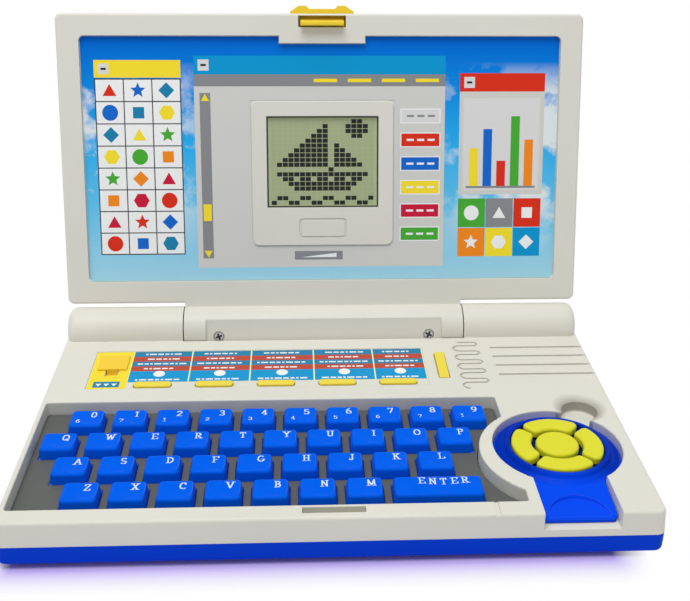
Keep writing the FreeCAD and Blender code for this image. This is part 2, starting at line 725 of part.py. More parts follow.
def wave_band(sketch):
    """Outline of one bend of the wavy groove: out to the right, round, back and round to the next bend."""
    near = f"({WAVE_RIGHT} - wave_turn)"
    far_turn = f"({WAVE_PITCH} / 2 - wave_turn)"
    far = f"({WAVE_LEFT} + {far_turn})"
    next_y = f"({WAVE_Y} - {WAVE_PITCH} / 2)"
    half = "wave_line / 2"
    outer = arc_edge(sketch, (near, WAVE_Y), f"wave_turn + {half}", -90, 90)
    inner = arc_edge(sketch, (near, WAVE_Y), f"wave_turn - {half}", -90, 90)
    far_outer = arc_edge(sketch, (far, next_y), f"{far_turn} + {half}", 90, 270)
    far_inner = arc_edge(sketch, (far, next_y), f"{far_turn} - {half}", 90, 270)
    start_out = level_edge(sketch, far, near, f"{WAVE_Y} + wave_turn + {half}")
    start_in = level_edge(sketch, far, near, f"{WAVE_Y} + wave_turn - {half}")
    back_out = level_edge(sketch, far, near, f"{WAVE_Y} - wave_turn - {half}")
    back_in = level_edge(sketch, far, near, f"{WAVE_Y} - wave_turn + {half}")
    bends = ((start_out, outer, 2, 2), (start_in, inner, 2, 2), (back_out, outer, 2, 1),
             (back_in, inner, 2, 1), (back_out, far_inner, 1, 1), (back_in, far_outer, 1, 1))
    for line, arc, line_end, arc_end in bends:
        sketch.addConstraint(Sketcher.Constraint("Tangent", line, line_end, arc, arc_end))
    for first, first_end, second, second_end in ((start_out, 1, start_in, 1), (far_inner, 2, far_outer, 2)):
        ends = [sketch.getPoint(first, first_end), sketch.getPoint(second, second_end)]
        cap = sketch.addGeometry(Part.LineSegment(*ends), False)
        sketch.addConstraint(Sketcher.Constraint("Coincident", first, first_end, cap, 1))
        sketch.addConstraint(Sketcher.Constraint("Coincident", second, second_end, cap, 2))
        sketch.addConstraint(Sketcher.Constraint("Vertical", cap))
        dimension(sketch, "DistanceX", far, -1, 1, cap, 1)


def arc_edge(sketch, centre, radius, start, end):
    """Arc with its centre and radius fixed; its ends are left to its neighbours."""
    middle = Vector(value_of(centre[0]), value_of(centre[1]), 0)
    whole = Part.Circle(middle, Vector(0, 0, 1), value_of(radius))
    edge = sketch.addGeometry(Part.ArcOfCircle(whole, math.radians(start), math.radians(end)), False)
    dimension(sketch, "Radius", radius, edge)
    place_point(sketch, edge, 3, *centre)
    return edge


def level_edge(sketch, left, right, y):
    """Straight edge along X whose ends are left to its neighbours."""
    ends = [Vector(value_of(x), value_of(y), 0) for x in (left, right)]
    return sketch.addGeometry(Part.LineSegment(*ends), False)


# Bottom tray with the battery bay, speaker slots and screw bosses
def base_bottom_case():
    body = new_body("base_bottom_case")
    outline = sketch_on(body, "TrayOutline", offset="step_height")
    edges = (f"-{HALF_WIDTH} - case_flare", f"{HALF_WIDTH} + case_flare",
             f"{FRONT} - case_flare", f"{REAR} + case_flare")
    rounded(outline, *edges, "corner_radius + case_flare")
    tray = pad(body, outline, "split_height - step_height")
    round_edges(body, tray, "tray_round", at_height("step_height"))
    plinth = sketch_on(body, "TrayPlinth")
    rounded(plinth, *inside_edges("step_inset"), "tray_round")
    pad(body, plinth, "step_height + case_wall")
    hollow = sketch_on(body, "TrayHollow", offset="split_height")
    rounded(hollow, *inside_edges("case_wall - case_flare"), "corner_radius")
    pocket(body, hollow, "split_height - step_height - case_wall")
    lower = sketch_on(body, "PlinthHollow", offset="split_height")
    rounded(lower, *inside_edges("step_inset + case_wall"), "tray_round")
    pocket(body, lower, "split_height - case_wall")
    sill = sketch_on(body, "HingeSill", offset="case_wall")
    rectangle(sill, f"-{BARREL_HALF}", BARREL_HALF, f"{TROUGH_FLOOR_Y} + fit_gap", REAR)
    pad(body, sill, f"{SILL_TOP} - case_wall")

    bay = sketch_on(body, "BayBlock", offset="case_wall")
    rectangle(bay, *around(BAY_X, "bay_length", BAY_Y, BAY_WIDTH, "bay_wall + bay_ledge"))
    pad(body, bay, f"{BAY_ROOF} - case_wall")
    inside = sketch_on(body, "BayInside")
    rectangle(inside, *around(BAY_X, "bay_length", BAY_Y, BAY_WIDTH, "0"))
    pocket(body, inside, BAY_HEIGHT, reverse=True)
    seat = sketch_on(body, "DoorSeat")
    rounded(seat, *around(BAY_X, "bay_length", BAY_Y, BAY_WIDTH, "bay_ledge"), "door_round")
    pocket(body, seat, "door_thickness", reverse=True)

    slot = sketch_on(body, "SoundSlot")
    first = f"({SPEAKER_Y} - (sound_slot_count - 1) * sound_slot_pitch / 2)"
    rectangle(slot, f"{SPEAKER_X} - sound_slot_length / 2", f"{SPEAKER_X} + sound_slot_length / 2",
              f"{first} - sound_slot_width / 2", f"{first} + sound_slot_width / 2")
    row_of(body, pocket(body, slot, "2 * case_wall", reverse=True), "Y_Axis", "sound_slot_pitch",
           "sound_slot_count")

    bosses = sketch_on(body, "ScrewBosses", offset="case_wall")
    holes = sketch_on(body, "ScrewHoles")
    heads = sketch_on(body, "ScrewHeads")
    for side in ("", "-"):
        for end, sign in ((FRONT, "+"), (REAR, "-")):
            place = (f"{side}({HALF_WIDTH} - boss_inset)", f"{end} {sign} boss_inset")
            circle(bosses, *place, "boss_radius")
            circle(holes, *place, "screw_radius")
            circle(heads, *place, "screw_head_radius")
    pad(body, bosses, "split_height - case_wall")
    pocket(body, holes, "split_height", reverse=True)
    pocket(body, heads, "2 * screw_head_depth", reverse=True)
    posts = sketch_on(body, "BoardPosts", offset="case_wall")
    for side in ("", "-"):
        for end in ("", "-"):
            circle(posts, f"{BOARD_X} {side or '+'} post_spread_x", f"{BOARD_Y} {end or '+'} post_spread_y",
                   "post_radius")
    pad(body, posts, f"{BOARD_LOW} - case_wall")


def inside_edges(inset):
    """Four edges of the base's plan, moved in by an expression."""
    return (f"-{HALF_WIDTH} + ({inset})", f"{HALF_WIDTH} - ({inset})",
            f"{FRONT} + ({inset})", f"{REAR} - ({inset})")


def around(x, length, y, width, margin):
    """Four edges of a rectangle centred on a point, grown by a margin."""
    return (f"{x} - {length} / 2 - ({margin})", f"{x} + {length} / 2 + ({margin})",
            f"{y} - {width} / 2 - ({margin})", f"{y} + {width} / 2 + ({margin})")


def battery_door():
    body = new_body("battery_door")
    panel = sketch_on(body, "DoorPanel")
    rounded(panel, *around(BAY_X, "bay_length", BAY_Y, BAY_WIDTH, "bay_ledge - fit_gap"), "door_round")
    pad(body, panel, "door_thickness")
    grip = sketch_on(body, "DoorGrip")
    first = f"({BAY_Y} - {BAY_WIDTH} / 2 + grip_pitch)"
    rectangle(grip, f"{BAY_X} - grip_length / 2", f"{BAY_X} + grip_length / 2",
              f"{first} - groove_width / 2", f"{first} + groove_width / 2")
    row_of(body, pocket(body, grip, "groove_depth", reverse=True), "Y_Axis", "grip_pitch", "grip_count")
    hole = sketch_on(body, "DoorScrew")
    circle(hole, BAY_X, f"{BAY_Y} + {BAY_WIDTH} / 2 - 2 * screw_head_radius", "screw_radius")
    pocket(body, hole, "door_thickness", reverse=True)


# Grey plate on the floor of the well, with a hole for each key
def keyboard_plate():
    body = new_body("keyboard_plate")
    sheet_outline = sketch_on(body, "PlateOutline", offset=PLATE_UNDER)
    rounded(sheet_outline, f"{WELL_LEFT} + fit_gap", f"{WELL_RIGHT} - fit_gap", f"{WELL_FRONT} + fit_gap",
            f"{WELL_REAR} - fit_gap", "well_corner")
    pad(body, sheet_outline, "plate_thickness")
    bite = sketch_on(body, "RingBite", offset=PLATE_UNDER)
    circle(bite, MOUSE_X, RING_Y, "ring_radius + fit_gap")
    pocket(body, bite, "plate_thickness", reverse=True)
    for row, (lead, letters) in enumerate(KEY_ROWS):
        hole = sketch_on(body, f"KeyHole{row}", offset=PLATE_TOP)
        rectangle(hole, *around(key_x(lead, 0), KEY_WIDTH, row_y(row), KEY_DEPTH, "fit_gap"))
        row_of(body, pocket(body, hole, "plate_thickness"), "X_Axis", KEY_PITCH, str(len(letters)))
    enter = sketch_on(body, "EnterHole", offset=PLATE_TOP)
    rectangle(enter, *around(ENTER_X, ENTER_WIDTH, row_y(3), KEY_DEPTH, "fit_gap"))
    pocket(body, enter, "plate_thickness")


def key_x(lead, column):
    """Middle of a key in its row."""
    return f"({WELL_LEFT} + ({lead} + {column}) * {KEY_PITCH})"


def row_y(row):
    """Middle of a row of keys."""
    return f"({WELL_REAR} - (row_lead + {row}) * {ROW_PITCH})"


ENTER_X = f"({key_x('low_row_lead', 7)} + ({ENTER_WIDTH} - {KEY_WIDTH}) / 2)"


# One key: a sloped cap with a shallow round dish, a shank through the plate and a flange below it
def key(label, x, row, width):
    y = row_y(row)
    cap = doc.addObject("Part::Wedge", "Cap_" + label)
    for prop, text in (("Xmin", f"-{width} / 2"), ("Xmax", f"{width} / 2"),
                       ("X2min", f"-{width} / 2 + key_side_slope"),
                       ("X2max", f"{width} / 2 - key_side_slope"),
                       ("Ymin", "0"), ("Ymax", "key_height"),
                       ("Zmin", f"-{KEY_DEPTH} / 2"), ("Zmax", f"{KEY_DEPTH} / 2"),
                       ("Z2min", f"-{KEY_DEPTH} / 2 + key_back_slope"),
                       ("Z2max", f"{KEY_DEPTH} / 2 - key_front_slope")):
        bind(cap, prop, text)
    cap.Placement = Placement(Vector(0, 0, 0), Rotation(Vector(1, 0, 0), 90))
    bind(cap, "Placement.Base.x", x)
    bind(cap, "Placement.Base.y", y)
    bind(cap, "Placement.Base.z", PLATE_TOP)
    shank = block("Shank_" + label, x, width, y, KEY_DEPTH, FLANGE_LOW, f"{PLATE_TOP} - {FLANGE_LOW}")
    flange = block("Flange_" + label, x, f"({width} + 2 * (fit_gap + key_flange))", y,
                   f"({KEY_DEPTH} + 2 * (fit_gap + key_flange))", FLANGE_LOW, "key_flange_height")
    dish = doc.addObject("Part::Sphere", "Dish_" + label)
    bind(dish, "Radius", "dish_curve")
    bind(dish, "Placement.Base.x", f"{x} + dish_shift")
    bind(dish, "Placement.Base.y", f"{y} + dish_shift")
    bind(dish, "Placement.Base.z", f"{PLATE_TOP} + key_height + sqrt(dish_curve ^ 2 - dish_radius ^ 2)")
    return cap, [shank, flange], dish


def block(name, x, width, y, depth, low, height):
    """Box centred on a point in plan, standing on a level."""
    box = doc.addObject("Part::Box", name)
    for prop, text in (("Length", width), ("Width", depth), ("Height", height),
                       ("Placement.Base.x", f"{x} - {width} / 2"), ("Placement.Base.y", f"{y} - {depth} / 2"),
                       ("Placement.Base.z", low)):
        bind(box, prop, text)
    return box


def keys():
    """All the keys: the caps are rounded once they are built, then joined and dished."""
    started = []
    for row, (lead, letters) in enumerate(KEY_ROWS):
        for column, letter in enumerate(letters):
            label = "key_" + letter
            started.append((label, *key(label, key_x(lead, column), row, KEY_WIDTH)))
    started.append(("key_enter", *key("key_enter", ENTER_X, 3, ENTER_WIDTH)))
    doc.recompute()
    for label, cap, below, dish in started:
        rounded_cap = doc.addObject("Part::Fillet", "Rounded_" + label)
        rounded_cap.Base = cap
        rounded_cap.Edges = cap_rounds(cap.Shape)
        joined = doc.addObject("Part::MultiFuse", "Joined_" + label)
        joined.Shapes = [rounded_cap] + below
        dished = doc.addObject("Part::Cut", "Dished_" + label)
        dished.Base = joined
        dished.Tool = dish
        keep(dished, label)


def cap_rounds(shape):
    """Edges of a cap to round with their radii: the rim of its top and the four sloping corners."""
    low, high = shape.BoundBox.ZMin + 1e-4, shape.BoundBox.ZMax - 1e-4
    rim, corner = value_of("key_round"), value_of("key_corner")
    rounds = []
    for number, edge in enumerate(shape.Edges, start=1):
        if edge.BoundBox.ZMax > low:
            radius = rim if edge.BoundBox.ZMin > high else corner
            rounds.append((number, radius, radius))
    return rounds


# Rubber mat with a dome under each key
def key_mat():
    body = new_body("key_mat")
    outline = sketch_on(body, "MatOutline", offset=BOARD_TOP)
    rectangle(outline, BOARD_LEFT, BOARD_RIGHT, BOARD_FRONT, WELL_REAR)
    pad(body, outline, "mat_thickness")
    rows = [(key_x(lead, 0), letters) for lead, letters in KEY_ROWS]
    for row, (x, letters) in enumerate(rows + [(ENTER_X, "_")]):
        dome = sketch_on(body, f"Dome{row}", offset=MAT_TOP)
        circle(dome, x, row_y(min(row, 3)), "dome_radius")
        domed = pad(body, dome, f"{DOME_TOP} - {MAT_TOP}", taper="-45")
        if len(letters) > 1:
            row_of(body, domed, "X_Axis", KEY_PITCH, str(len(letters)))


# Circuit board with its switches, the speaker and the battery contact plates, as separate solids
def electronics():
    main = block("MainBoard", BOARD_X, f"({BOARD_RIGHT} - {BOARD_LEFT})", BOARD_Y,
                 f"({WELL_REAR} - {BOARD_FRONT})", BOARD_LOW, "board_thickness")
    tongue = block("BoardTongue",
                   f"(({BOARD_LEFT} + {TONGUE_RIGHT}) / 2)", f"({TONGUE_RIGHT} - {BOARD_LEFT})",
                   f"(({WELL_REAR} + {TONGUE_REAR}) / 2)", f"({TONGUE_REAR} - {WELL_REAR})",
                   BOARD_LOW, "board_thickness")
    board = doc.addObject("Part::Fuse", "Board")
    board.Base = main
    board.Tool = tongue
    board.Refine = True
    pieces = [board]
    switches = [(mode_x(number), MODE_Y) for number in range(mode_count)]
    for number, (x, y) in enumerate(switches + [(POWER_X, POWER_POST_Y)]):
        pieces.append(block(f"Switch{number}", x, "switch_size", y, "switch_size",
                            BOARD_TOP, "switch_height"))
    basket = doc.addObject("Part::Cone", "SpeakerBasket")
    bind(basket, "Radius1", "speaker_radius")
    bind(basket, "Radius2", "speaker_cone_radius")
    bind(basket, "Height", "speaker_height")
    for prop, text in (("x", SPEAKER_X), ("y", SPEAKER_Y), ("z", "case_wall")):
        bind(basket, "Placement.Base." + prop, text)
    pieces.append(basket)
    for number, side in enumerate(("-", "+")):
        contact = block(f"Contact{number}",
                        f"({BAY_X} {side} (bay_length - groove_depth) / 2)", "groove_depth",
                        BAY_Y, f"({BAY_WIDTH} - 2 * bay_ledge)", "(door_thickness + bay_ledge)",
                        f"({BAY_HEIGHT} - door_thickness - 2 * bay_ledge)")
        pieces.append(contact)
    group = doc.addObject("Part::Compound", "Electronics")
    group.Links = pieces
    keep(group, "electronics")


# Mouse: a round head with a raised rim round its pad, and a sloping tail
def mouse_case():
    body = new_body("mouse_case")
    profile = sketch_on(body, "HeadProfile", "XZ_Plane")
    edge_top = f"({MOUSE_LOW} + mouse_edge_height)"
    polygon(profile, [("0", MOUSE_LOW), ("mouse_radius", MOUSE_LOW), ("mouse_radius", edge_top),
                      ("mouse_rim_radius + mouse_slope_width", f"{RIM_TOP} - mouse_slope_height"),
                      ("mouse_rim_radius", RIM_TOP), ("pad_well_radius", RIM_TOP),
                      ("pad_well_radius", PAD_FLOOR), ("0", PAD_FLOOR)])
    head = body.newObject("PartDesign::Revolution", "Head")
    head.Profile = profile
    head.ReferenceAxis = (profile, ["V_Axis"])
    head.Angle = 360
    round_edges(body, head, "mouse_top_round / 2",
                lambda edge: edge.BoundBox.ZMin > value_of(edge_top) - 1e-4)

    tail = sketch_on(body, "TailProfile", "YZ_Plane")
    end_y = "(tail_front - mouse_setback)"
    polygon(tail, [("0", MOUSE_LOW), (end_y, MOUSE_LOW), (end_y, f"{MOUSE_LOW} + tail_height / 2"),
                   (f"{end_y} + tail_height / 2", f"{MOUSE_LOW} + tail_height"),
                   ("-pad_well_radius", f"{MOUSE_LOW} + tail_height + tail_rise"),
                   ("-pad_well_radius", f"{MOUSE_LOW} + pad_well_depth / 2"),
                   ("0", f"{MOUSE_LOW} + pad_well_depth / 2")])
    tailed = pad(body, tail, "tail_width", both=True)
    low_y = value_of(end_y)
    round_edges(body, tailed, "tail_corner",
                lambda edge: upright(edge) and abs(edge.BoundBox.YMin - low_y) < 1e-4)
    stems = sketch_on(body, "StemBores", offset=PAD_FLOOR)
    circle(stems, "0", "0", "pad_stem_radius + stem_clearance")
    for x, y in (("0", PAD_REACH), (PAD_REACH, "0"), ("0", f"-{PAD_REACH}"), (f"-{PAD_REACH}", "0")):
        circle(stems, x, y, "pad_stem_radius + stem_clearance")
    pocket(body, stems, "pad_stem_length")
    rest = body.newObject("PartDesign::SubtractiveCone", "ThumbRest")
    rest.AttachmentSupport = [(origin_plane(body, "XY_Plane"), "")]
    rest.MapMode = "FlatFace"
    bind(rest, "AttachmentOffset.Base.y", end_y)
    bind(rest, "AttachmentOffset.Base.z", f"{MOUSE_LOW} + tail_height - thumb_depth")
    bind(rest, "Radius1", "thumb_radius - thumb_slope")
    bind(rest, "Radius2", "thumb_radius")
    bind(rest, "Height", "thumb_depth + tail_rise")
    place_at_mouse(body)


def place_at_mouse(body, turn=0):
    """Put a piece drawn round the mouse's own axis onto the mouse."""
    body.Placement = Placement(Vector(0, 0, 0), Rotation(Vector(0, 0, 1), turn))
    bind(body, "Placement.Base.x", MOUSE_X)
    bind(body, "Placement.Base.y", MOUSE_Y)


# Five buttons of the mouse: a round one and four curved ones about it
def pad_buttons():
    centre = new_body("pad_centre")
    disc = sketch_on(centre, "Disc", offset=PAD_LOW)
    circle(disc, "0", "0", "pad_centre_radius")
    raised = pad(centre, disc, f"{PAD_TOP} - {PAD_LOW}")
    round_edges(centre, raised, "pad_round", at_height(PAD_TOP))
    add_stem(centre, "0")
    place_at_mouse(centre)
    for label, turn in (("pad_up", 90), ("pad_right", 0), ("pad_down", -90), ("pad_left", 180)):
        body = new_body(label)
        sector = sketch_on(body, "Sector_" + label, offset=PAD_LOW)
        reach = {name: value_of(name) for name in ("pad_outer_radius", "pad_inner_radius")}
        half = math.radians(value_of("pad_half_angle"))
        arcs = []
        for name in reach:
            whole = Part.Circle(Vector(0, 0, 0), Vector(0, 0, 1), reach[name])
            arcs.append(sector.addGeometry(Part.ArcOfCircle(whole, -half, half), False))
            dimension(sector, "Radius", name, arcs[-1])
            place_point(sector, arcs[-1], 3, "0", "0")
        for end, sign in ((1, "-"), (2, "")):
            angle = half if end == 2 else -half
            ends = [Vector(math.cos(angle), math.sin(angle), 0) * reach[name] for name in reach]
            line = sector.addGeometry(Part.LineSegment(*ends), False)
            sector.addConstraint(Sketcher.Constraint("Coincident", arcs[0], end, line, 1))
            sector.addConstraint(Sketcher.Constraint("Coincident", arcs[1], end, line, 2))
            for arc, name in zip(arcs, reach):
                dimension(sector, "DistanceY", f"{sign}{name} * sin(pad_half_angle)", -1, 1, arc, end)
        raised = pad(body, sector, f"{PAD_TOP} - {PAD_LOW}")
        corners = round_edges(body, raised, "pad_corner", upright)
        round_edges(body, corners, "pad_round", at_height(PAD_TOP))
        add_stem(body, PAD_REACH)
        place_at_mouse(body, turn)


def add_stem(body, x):
    """Round guide under a button of the mouse."""
    stem = sketch_on(body, "Stem_" + body.Name, offset=PAD_LOW)
    circle(stem, x, "0", "pad_stem_radius")
    pad(body, stem, f"{PAD_LOW} - {PAD_FLOOR} + pad_stem_length - pad_travel - fit_gap", reverse=True)


# Push buttons of the deck: a cap through the deck, a flange under it and a post down to its switch
def push_button(label, x, width, y, depth, rise, travel, post_y, corner, slope="0"):
    body = new_body(label)
    cap = sketch_on(body, "Cap_" + label, "YZ_Plane", offset=x)
    front, back = f"{y} - {depth} / 2", f"{y} + {depth} / 2"
    polygon(cap, [(front, BUTTON_FLANGE_LOW), (back, BUTTON_FLANGE_LOW), (back, f"deck_height + {rise}"),
                  (front, f"deck_height + {rise} - {slope}")])
    raised = pad(body, cap, width, both=True)
    cornered = round_edges(body, raised, corner, upright)
    level = value_of("deck_height")
    round_edges(body, cornered, "button_round", lambda edge: edge.BoundBox.ZMin > level)
    flange = sketch_on(body, "Flange_" + label, offset=BUTTON_FLANGE_LOW)
    rectangle(flange, *around(x, width, y, depth, "fit_gap + button_flange"))
    pad(body, flange, "button_flange_height")
    post = sketch_on(body, "Post_" + label, offset=BUTTON_FLANGE_LOW)
    circle(post, x, post_y, "button_post_radius")
    pad(body, post, f"{BUTTON_FLANGE_LOW} - {BOARD_TOP} - switch_height - {travel} - fit_gap", reverse=True)


def mode_x(number):
    """Middle of a mode button."""
    return f"({MODE_FIRST} + {number} * {MODE_PITCH})"


def deck_buttons():
    for number in range(mode_count):
        push_button(f"mode_button_{number + 1}", mode_x(number), "mode_width", MODE_Y, "mode_depth",
                    "mode_rise", "mode_travel", MODE_Y, "button_corner")
    push_button("power_button", POWER_X, "power_width", POWER_Y, POWER_DEPTH, "power_rise",
                "power_travel", POWER_POST_Y, "power_corner", slope="power_slope")


# Selector that slides towards the typist: a thumb plate, a stem through the slot and a foot below it
def mode_selector():
    body = new_body("mode_selector")
    low = "(deck_height - card_recess + fit_gap)"
    thumb = sketch_on(body, "ThumbPlate", offset=low)
    rectangle(thumb, f"{SELECTOR_X} - selector_width / 2", f"{SELECTOR_X} + selector_width / 2",
              SELECTOR_FRONT, SELECTOR_REAR)
    raised = pad(body, thumb, f"deck_height + selector_rise - {low}")
    round_edges(body, raised, "button_round", at_height("deck_height + selector_rise"))
    stem = sketch_on(body, "SelectorStem", offset=low)
    rectangle(stem, f"{SELECTOR_X} - selector_stem_width / 2", f"{SELECTOR_X} + selector_stem_width / 2",
              SELECTOR_FRONT, f"{SELECTOR_FRONT} + selector_stem_depth")
    pad(body, stem, f"{low} - {BUTTON_FLANGE_LOW}", reverse=True)
    foot = sketch_on(body, "SelectorFoot", offset=BUTTON_FLANGE_LOW)
    rectangle(foot, f"{SELECTOR_X} - selector_stem_width / 2 - selector_foot",
              f"{SELECTOR_X} + selector_stem_width / 2 + selector_foot",
              f"{SELECTOR_FRONT} - selector_travel - selector_foot",
              f"{SELECTOR_FRONT} + selector_stem_depth")
    pad(body, foot, "button_flange_height")


# Front of the lid: bezel, picture recess, display frame, hinge barrel and its pins
def lid_front_bezel():
    body = new_body("lid_front_bezel")
    outline = sketch_on(body, "LidOutline", offset=LID_SPLIT)
    rounded(outline, f"-{LID_HALF}", LID_HALF, "lid_root", LID_TOP, "lid_corner")
    frame = pad(body, outline, "bezel_thickness")
    round_edges(body, frame, "lid_round", at_height(LID_FACE))
    hollow = sketch_on(body, "BezelHollow", offset=LID_SPLIT)
    rectangle(hollow, f"-{LID_HALF} + lid_wall", f"{LID_HALF} - lid_wall", "lid_root + lid_wall",
              f"{LID_TOP} - lid_wall")
    pocket(body, hollow, f"{BEZEL_UNDER} - {LID_SPLIT}", reverse=True)
    picture = sketch_on(body, "PictureRecess", offset=LID_FACE)
    rounded(picture, f"-{LID_HALF} + picture_side", f"{LID_HALF} - picture_side", "lid_root + picture_low",
            f"{LID_TOP} - picture_high", "picture_corner")
    pocket(body, picture, "picture_depth")
    land = sketch_on(body, "LatchLand", offset=PICTURE_FLOOR)
    rectangle(land, "-latch_land_width / 2", "latch_land_width / 2",
              f"{LID_TOP} - picture_high - latch_land_depth", f"{LID_TOP} - picture_high + overcut")
    pad(body, land, "picture_depth")
    display = sketch_on(body, "DisplayFrame", offset=PICTURE_FLOOR)
    rounded(display, "-display_width / 2", "display_width / 2",
            "lid_root + display_low", "lid_root + display_high", "display_corner")
    raised = pad(body, display, "display_rise")
    on_frame = at_height(DISPLAY_FACE)
    frame_width = value_of("display_width")
    round_edges(body, raised, "display_rise / 2",
                lambda edge: on_frame(edge) and edge.BoundBox.XLength < frame_width)
    window = sketch_on(body, "DisplayWindow", offset=DISPLAY_FACE)
    rectangle(window, "-window_width / 2", "window_width / 2",
              "lid_root + window_low", "lid_root + window_high")
    pocket(body, window, f"{DISPLAY_FACE} - {LID_SPLIT}")
    adjust = sketch_on(body, "AdjustOutline", offset=DISPLAY_FACE)
    rounded(adjust, "-adjust_width / 2", "adjust_width / 2",
            "lid_root + adjust_low", "lid_root + adjust_high", "adjust_corner")
    rounded(adjust, "-adjust_width / 2 + adjust_groove", "adjust_width / 2 - adjust_groove",
            "lid_root + adjust_low + adjust_groove", "lid_root + adjust_high - adjust_groove",
            "adjust_corner - adjust_groove")
    pocket(body, adjust, "adjust_depth")

    barrel = sketch_on(body, "BarrelFront", "YZ_Plane")
    tilt = f"asin({LID_SPLIT} / barrel_radius)"
    arc, lines = arc_and_lines(barrel, ("0", "0"), "barrel_radius", tilt, f"180 deg - {tilt}")
    barrel.addConstraint(Sketcher.Constraint("Horizontal", lines[0]))
    dimension(barrel, "DistanceY", LID_SPLIT, -1, 1, lines[0], 1)
    pad(body, barrel, f"2 * {BARREL_HALF}", both=True)
    neck = sketch_on(body, "NeckFront", "YZ_Plane")
    rectangle(neck, "0", "lid_root + lid_wall", LID_SPLIT, LID_FACE)
    pad(body, neck, f"2 * {BARREL_HALF}", both=True)
    pins = sketch_on(body, "HingePins", "YZ_Plane")
    circle(pins, "0", "0", "pin_radius")
    pad(body, pins, f"2 * ({BARREL_HALF} + pin_length)", both=True)
    flat = sketch_on(body, "BarrelFlat", offset="barrel_radius - barrel_flat_depth")
    flat_half = f"({BARREL_HALF} - barrel_flat_inset)"
    rectangle(flat, f"-{flat_half}", flat_half, "-barrel_radius", "barrel_radius")
    pocket(body, flat, "2 * barrel_flat_depth", reverse=True)
    heads = sketch_on(body, "HingeScrewHeads", offset="barrel_radius - barrel_flat_depth")
    for side in ("", "-"):
        circle(heads, f"{side}({BARREL_HALF} - hinge_screw_inset)", "-hinge_screw_drop", "screw_head_radius")
    pocket(body, heads, "screw_head_depth")

    hatch = sketch_on(body, "LatchWindow", offset=LID_FACE)
    rectangle(hatch, "-hook_width / 2 - window_frame", "hook_width / 2 + window_frame",
              f"{HOOK_LOW} - fit_gap", f"{HOOK_LOW} + hook_block + latch_travel + fit_gap")
    pocket(body, hatch, "bezel_thickness")
    gate = sketch_on(body, "LatchGate", "XZ_Plane", offset=f"-{LID_TOP} - overcut")
    rectangle(gate, "-latch_width / 2 - fit_gap", "latch_width / 2 + fit_gap", f"{LID_SPLIT} - overcut",
              f"{GRIP_FRONT} + fit_gap")
    pocket(body, gate, "lid_wall + 2 * overcut", reverse=True)
    stand_on_hinge(body)


# Back of the lid: a rounded shell that carries the rear of the barrel
def lid_back_cover():
    body = new_body("lid_back_cover")
    outline = sketch_on(body, "BackOutline", offset=LID_BACK)
    rounded(outline, f"-{LID_HALF}", LID_HALF, "lid_root", LID_TOP, "lid_corner + lid_round")
    shell = pad(body, outline, f"{LID_SPLIT} - {LID_BACK}")
    round_edges(body, shell, "back_round", at_height(LID_BACK))
    hollow = sketch_on(body, "BackHollow", offset=LID_SPLIT)
    rectangle(hollow, f"-{LID_HALF} + lid_wall", f"{LID_HALF} - lid_wall", "lid_root + lid_wall",
              f"{LID_TOP} - lid_wall")
    pocket(body, hollow, f"{LID_SPLIT} - {LID_BACK} - lid_wall")
    neck = sketch_on(body, "NeckBack", "YZ_Plane")
    tilt = f"asin({LID_SPLIT} / barrel_radius)"
    inner = "lid_root + lid_wall"
    arc_and_lines_open(neck, tilt, inner)
    pad(body, neck, f"2 * {BARREL_HALF}", both=True)
    gate = sketch_on(body, "LatchGateBack", "XZ_Plane", offset=f"-{LID_TOP} - overcut")
    rectangle(gate, "-latch_width / 2 - fit_gap", "latch_width / 2 + fit_gap",
              f"{GRIP_FRONT} - latch_grip_depth - fit_gap", f"{LID_SPLIT} + overcut")
    pocket(body, gate, "lid_wall + 2 * overcut", reverse=True)
    stand_on_hinge(body)


def arc_and_lines_open(sketch, tilt, inner):
    """Rear of the barrel: an arc from the split to the back of the barrel, then the neck."""
    arc, lines = arc_and_lines(sketch, ("0", "0"), "barrel_radius", f"180 deg - {tilt}", "270 deg",
                               [(inner, "-barrel_radius"), (inner, LID_SPLIT)], smooth_end=True)
    sketch.addConstraint(Sketcher.Constraint("Horizontal", lines[2]))


def lcd_panel():
    body = new_body("lcd_panel")
    flange = sketch_on(body, "GlassFlange", offset=BEZEL_UNDER)
    rectangle(flange, "-window_width / 2 - glass_flange", "window_width / 2 + glass_flange",
              "lid_root + window_low - glass_flange", "lid_root + window_high + glass_flange")
    pad(body, flange, f"{BEZEL_UNDER} - {LID_SPLIT}", reverse=True)
    face = sketch_on(body, "GlassFace", offset=BEZEL_UNDER)
    rectangle(face, "-window_width / 2 + fit_gap", "window_width / 2 - fit_gap",
              "lid_root + window_low + fit_gap", "lid_root + window_high - fit_gap")
    pad(body, face, f"{DISPLAY_FACE} - glass_depth - {BEZEL_UNDER}")
    stand_on_hinge(body)


